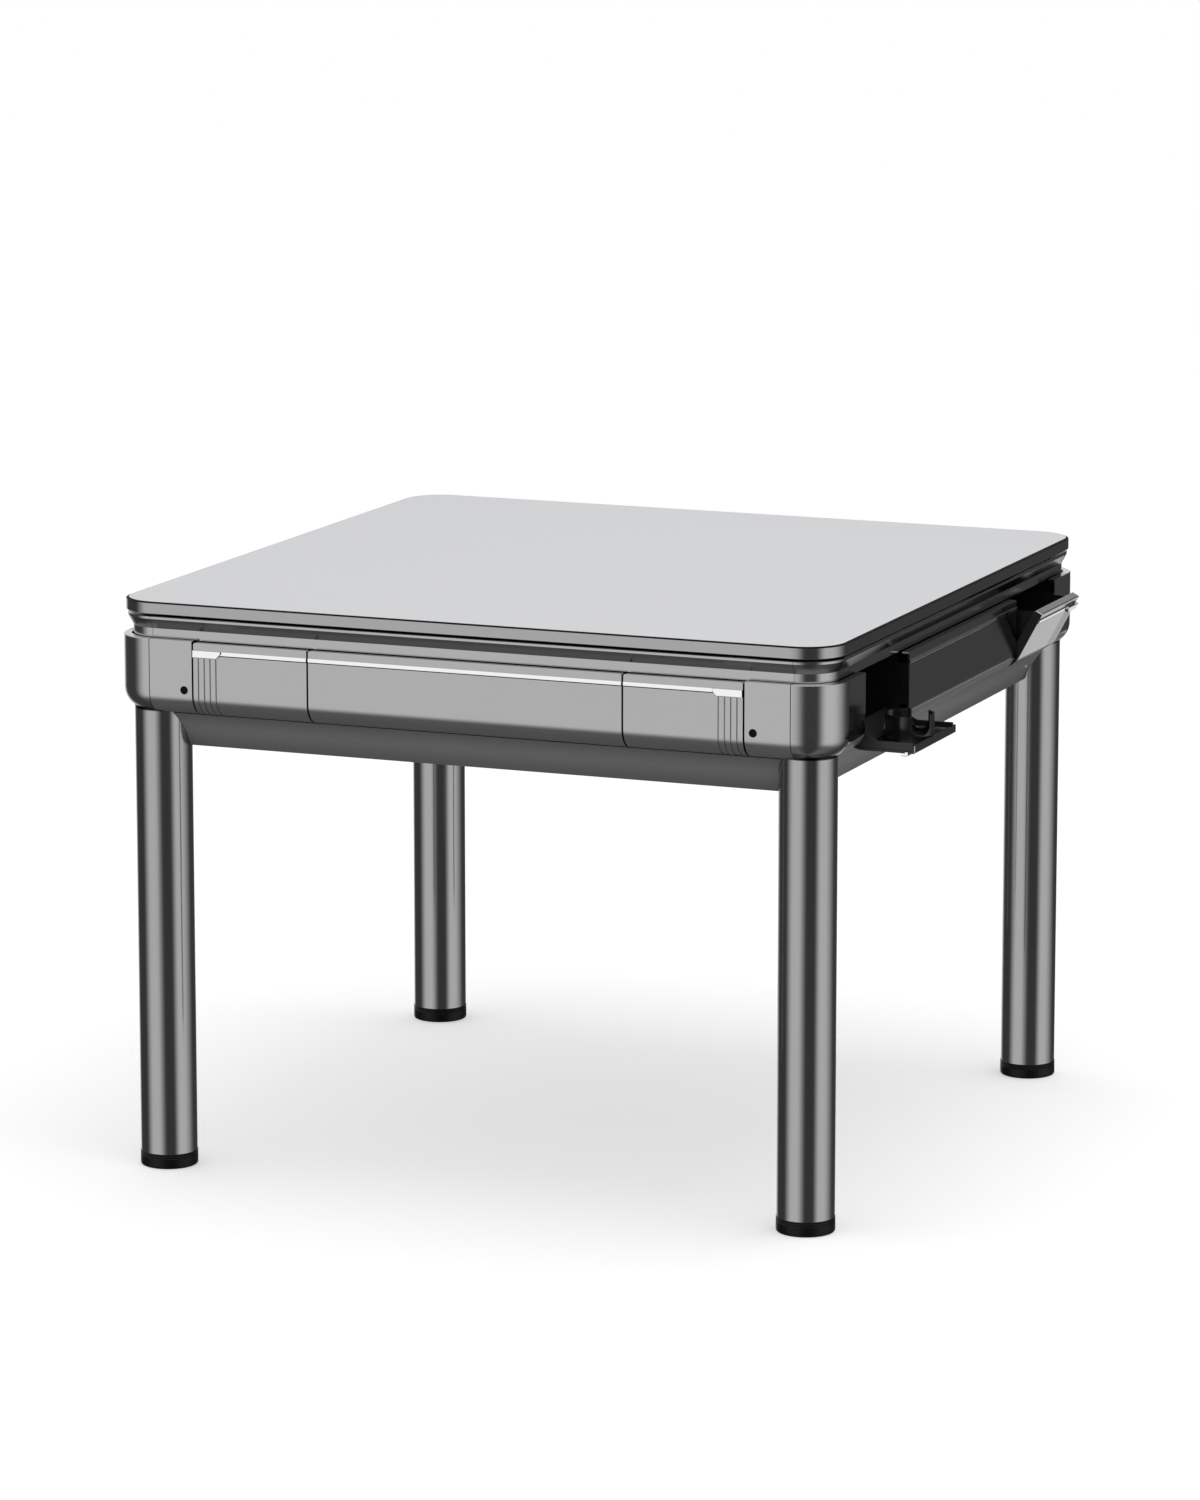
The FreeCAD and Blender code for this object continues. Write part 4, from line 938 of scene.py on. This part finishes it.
@dataclass
class Screws:
    """Cross-slotted screws in the skirts and the base pan."""
    shop: FinishShop
    head_r: float = 0.0038
    head_height: float = 0.0016
    slot_width: float = 0.0009
    slot_depth: float = 0.0011
    head_sunk: float = 0.0006
    skirt_place: Triple = (0.385, -0.4621, 0.5926)
    pan_place: Triple = (0.2, -0.4185, 0.56898)
    skirt_faces: Triple = (0.0, -47.3, -29.0)

    def heads(self, places: Array, normals: Array) -> tuple[Array, Array]:
        """Screw heads at given places.

        Over polar r and a, a head rises h (1 - (r/R)^4) and drops by the slot's depth where the point
        lies within half a slot's width of either cross line and inside 0.72 R.

        Args:
            places: The middle of each head, one row each.
            normals: The way each head faces.

        Returns:
            The points and quads of all of them.
        """
        share = np.array([0.0, 0.1, 0.2, 0.3, 0.42, 0.55, 0.68, 0.76, 0.86, 0.94, 1.0, 1.0])[:, None]
        r, a = share * self.head_r, full_turn(40)
        x, y = r * np.cos(a), r * np.sin(a)
        high = self.head_height * (1 - (r / self.head_r) ** 4) + 0 * a
        in_slot = np.minimum(np.abs(x), np.abs(y)) < self.slot_width / 2
        high -= self.slot_depth * (in_slot & (np.hypot(x, y) < 0.72 * self.head_r))
        high[-1] = -self.head_sunk
        cap = stacked(x, y, high)
        across = np.cross(normals, [0.123, 0.456, 0.881])
        across /= np.linalg.norm(across, axis=1)[:, None]
        basis = np.stack([across, np.cross(normals, across), normals], 1)
        points = (np.einsum("pi,kij->kpj", cap, basis) + places[:, None]).reshape(-1, 3)
        return points, copies(grid_faces(len(r), len(a), False, True), len(cap), len(places))

    def build(self) -> None:
        """Place the screws: two in each side skirt near its ends, and eight under the base pan."""
        lean = np.array(self.skirt_faces) / np.linalg.norm(self.skirt_faces)
        places, normals = [], []
        for side in Side:
            kinds = [(self.pan_place, np.array([0.0, 0.0, -1.0]))]
            if side in (Side.RIGHT, Side.LEFT):
                kinds.insert(0, (self.skirt_place, lean))
            for (x, y, z), facing in kinds:
                for mirrored in (-x, x):
                    places.append(side.place(np.array([mirrored, y, z])))
                    normals.append(side.place(facing))
        piece = mesh_object("casing_screws", *self.heads(np.array(places), np.array(normals)), 35)
        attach(piece, "root")
        self.shop.coat(piece, "zinc_plate")


@dataclass
class Carcass:
    """The carried-over nodes of the cover, rim, casing, legs, frame and machine, and their finishes."""
    shop: FinishShop
    slope_normal: float = -0.474
    lift_top_z: float = 0.734
    PLAIN = {
        "silvered": "corner_casings", "satin_grey": "skirts", "tube_metal": "leg_*",
        "coated_steel": "frame_beams corner_brackets base_pan", "blackened_steel": "flap_hinges",
        "fibre_board": "play_board", "nylon": "lift_guides", "tub_moulding": "shuffle_tub",
        "disc_rubber": "shuffle_disc drive_roller", "cast_alloy": "drive_motor", "die_resin": "dice",
        "black_moulding": "control_box drawer_box_*",
        "black_gloss": "console_base cup_cradle_* tray_bin_*",
        "red_button": "button_roll", "green_button": "button_shuffle",
    }

    def build(self) -> None:
        """Coat the nodes that have one finish, the cover, the rim and the wall lifts."""
        nodes = frame["nodes"]
        for name, starts in self.PLAIN.items():
            for start in starts.split():
                for node in fnmatch.filter(nodes, start):
                    self.shop.coat(nodes[node], name)
        # The cover's side faces are painted black as painted shade, a dark line where the sheet meets
        # the edge band; its underside is black felt.
        self.shop.coat(nodes["cover_panel"], "laminate", "socket_black_and_painted_shade", "black_felt",
                       choose=lambda centres, normals: np.digitize(-normals[:, 2], (-0.95, 0.5)))
        # The edge band's top chamfer is painted black as painted shade, part of the same dark line.
        self.shop.coat(nodes["cover_edge"], "silvered_band", "socket_black_and_painted_shade",
                       choose=lambda centres, normals: normals[:, 2] > 0.5)
        # The rim's sloping faces get painted shade: the darker silvered copy, so that they reflect dark.
        for node in ("rim_rails", "rim_corners"):
            self.shop.coat(
                nodes[node], "silvered", "silvered_painted_shade",
                choose=lambda centres, normals: np.abs(normals[:, 2] - self.slope_normal) < 0.2)
        for node in fnmatch.filter(nodes, "wall_lift_*"):
            self.shop.coat(nodes[node], "nylon", "green_felt", choose=self.on_lift)

    def on_lift(self, centres: Array, normals: Array) -> Array:
        """Tell a wall lift's top faces (1) from the rest (0)."""
        return (normals[:, 2] > UPRIGHT_FROM) & (centres[:, 2] > self.lift_top_z)


@dataclass
class Studio:
    """The floor, the light and the camera. The room's edges and heights are in degrees."""
    floor_half: float = 30.0
    floor_sunk: float = 0.0002
    floor_grey: float = 0.77
    floor_glow: float = 0.43
    place: Triple = (3.1274, -7.7393, 2.1326)
    pitch: float = 10.992
    yaw: float = 22.103
    lens: float = 150.6
    room_light: float = 0.74
    gap_light: float = 0.08
    foot_light: float = 0.22
    back_light: float = 0.75
    left_wall: tuple[float, ...] = (-75.0, -37.0, -17.0, 19.0)
    right_wall: tuple[float, ...] = (46.0, 74.0, 90.0, 150.0)
    back_wall: tuple[float, ...] = (-62.0, -44.0, 3.0, 14.0)
    back_upper: Pair = (-18.0, -14.0)
    back_shift: float = 26.0
    foot: Pair = (-46.0, -21.0)
    open_sky: Pair = (1.0, 9.0)
    over_gap: tuple[float, ...] = (-6.0, 6.0, 58.0, 72.0)
    gap_height: float = 55.0
    lamp_place: Triple = (0.55, -0.2, 3.6)
    lamp_tilt: Pair = (-4.0, 10.0)
    lamp_width: float = 2.4
    lamp_power: float = 25.0

    def floor(self) -> None:
        """A pale floor that keeps half of the table's soft shadow and is left out of reflections."""
        span = np.linspace(-self.floor_half, self.floor_half, 3)
        x, y = np.meshgrid(span, span, indexing="ij")
        piece = mesh_object("studio_floor", stacked(x, y, -self.floor_sunk),
                            grid_faces(3, 3, False, False))
        material, wires = new_material("floor_paper")
        wires.tree.nodes.clear()
        path = wires.node("LightPath").outputs
        seen = wires.most(path["Is Camera Ray"], path["Is Transmission Ray"])
        paper = wires.node("BsdfDiffuse", {"Color": (self.floor_grey,) * 3 + (1.0,)})
        glow = wires.node("Emission", {"Strength": wires.times(seen, self.floor_glow)})
        both = wires.node("AddShader", {0: paper.outputs[0], 1: glow.outputs[0]})
        wires.node("OutputMaterial", {"Surface": both.outputs[0]})
        piece.data.materials.append(material)
        piece.visible_glossy = False

    def room(self) -> None:
        """An even room for what is matt, which metal sees as white walls with dark gaps between them.

        With e the height of a direction and t its bearing from the front towards the right, a wall is
        white where t lies between its two soft edges and e is over its foot. What lies high up is white,
        from higher up over the gap at the right and back. A third wall, less bright, is behind the
        table, with its bearing taken from the back, and its near edge stands further back higher up.
        """
        world = bpy.data.worlds.new("room")
        bpy.context.scene.world = world
        world.use_nodes = True
        wires = Wires(world.node_tree)
        wires.tree.nodes.clear()
        way = wires.node("SeparateXYZ", {0: wires.node("TexCoord").outputs["Generated"]}).outputs

        def within(enter: Socket, leave: Socket, edges: tuple[float, ...]) -> Socket:
            """1 between two soft edges, and 0 before and after them."""
            a, b, c, d = (math.radians(edge) for edge in edges)
            return wires.less(wires.step(enter, a, b), wires.step(leave, c, d))

        def above(height: Socket, edges: Pair) -> Socket:
            """1 above a soft edge, and 0 below it."""
            return wires.step(height, *(math.sin(math.radians(edge)) for edge in edges))

        bearing = wires.calc("ARCTAN2", way["X"], wires.times(way["Y"], -1.0))
        from_back = wires.calc("ARCTAN2", way["X"], way["Y"])
        sides = (self.left_wall, self.right_wall)
        walls = wires.most(*(within(bearing, bearing, edges) for edges in sides))
        shift = wires.times(above(way["Z"], self.back_upper), math.radians(self.back_shift))
        behind = within(from_back, wires.add(from_back, shift), self.back_wall)
        walls = wires.most(walls, wires.times(behind, self.back_light))
        lit = wires.add(wires.times(above(way["Z"], self.foot), 1.0 - self.foot_light), self.foot_light)
        ring = wires.add(wires.times(walls, wires.less(lit, self.gap_light)), self.gap_light)
        over_gap = within(from_back, from_back, self.over_gap)
        lift = wires.times(over_gap, math.sin(math.radians(self.gap_height)))
        seen = wires.most(ring, above(wires.less(way["Z"], lift), self.open_sky))
        path = wires.node("LightPath").outputs
        level = wires.blend(path["Is Glossy Ray"], (self.room_light,) * 3 + (1.0,), seen)
        plain = wires.most(path["Is Camera Ray"], path["Is Transmission Ray"])
        back = wires.node("Background", {"Color": wires.blend(plain, level, (1.0, 1.0, 1.0, 1.0))})
        wires.node("OutputWorld", {"Surface": back.outputs[0]})

    def lamp(self) -> None:
        """One wide soft lamp overhead, a little to the right."""
        data = bpy.data.lights.new("soft_lamp", "AREA")
        data.shape, data.size, data.energy = "SQUARE", self.lamp_width, self.lamp_power
        lamp = bpy.data.objects.new("soft_lamp", data)
        lamp.location = self.lamp_place
        lamp.rotation_euler = (*(math.radians(tilt) for tilt in self.lamp_tilt), 0.0)
        lamp.visible_glossy = False
        bpy.context.scene.collection.objects.link(lamp)

    def camera(self) -> None:
        """The camera at the photographed angle."""
        data = bpy.data.cameras.new("view")
        data.lens, data.sensor_width, data.sensor_fit = self.lens, 36.0, "AUTO"
        data.clip_start, data.clip_end = 0.1, 100.0
        camera = bpy.data.objects.new("view", data)
        camera.location = self.place
        camera.rotation_euler = (math.radians(90.0 - self.pitch), 0.0, math.radians(self.yaw))
        bpy.context.scene.collection.objects.link(camera)
        bpy.context.scene.camera = camera

    def build(self) -> None:
        """Set up everything round the table."""
        bpy.context.scene.view_settings.view_transform = "Standard"
        self.camera()
        self.floor()
        self.room()
        self.lamp()


def main() -> None:
    """Build the scene."""
    logging.basicConfig(level=logging.INFO, format="%(message)s")
    shop = FinishShop()
    Studio().build()
    for part in (Carcass, Fascias, Feet, PlaySurface, Screws, Console, Linings):
        part(shop).build()
    bpy.context.view_layer.update()


if __name__ == "__main__":
    main()
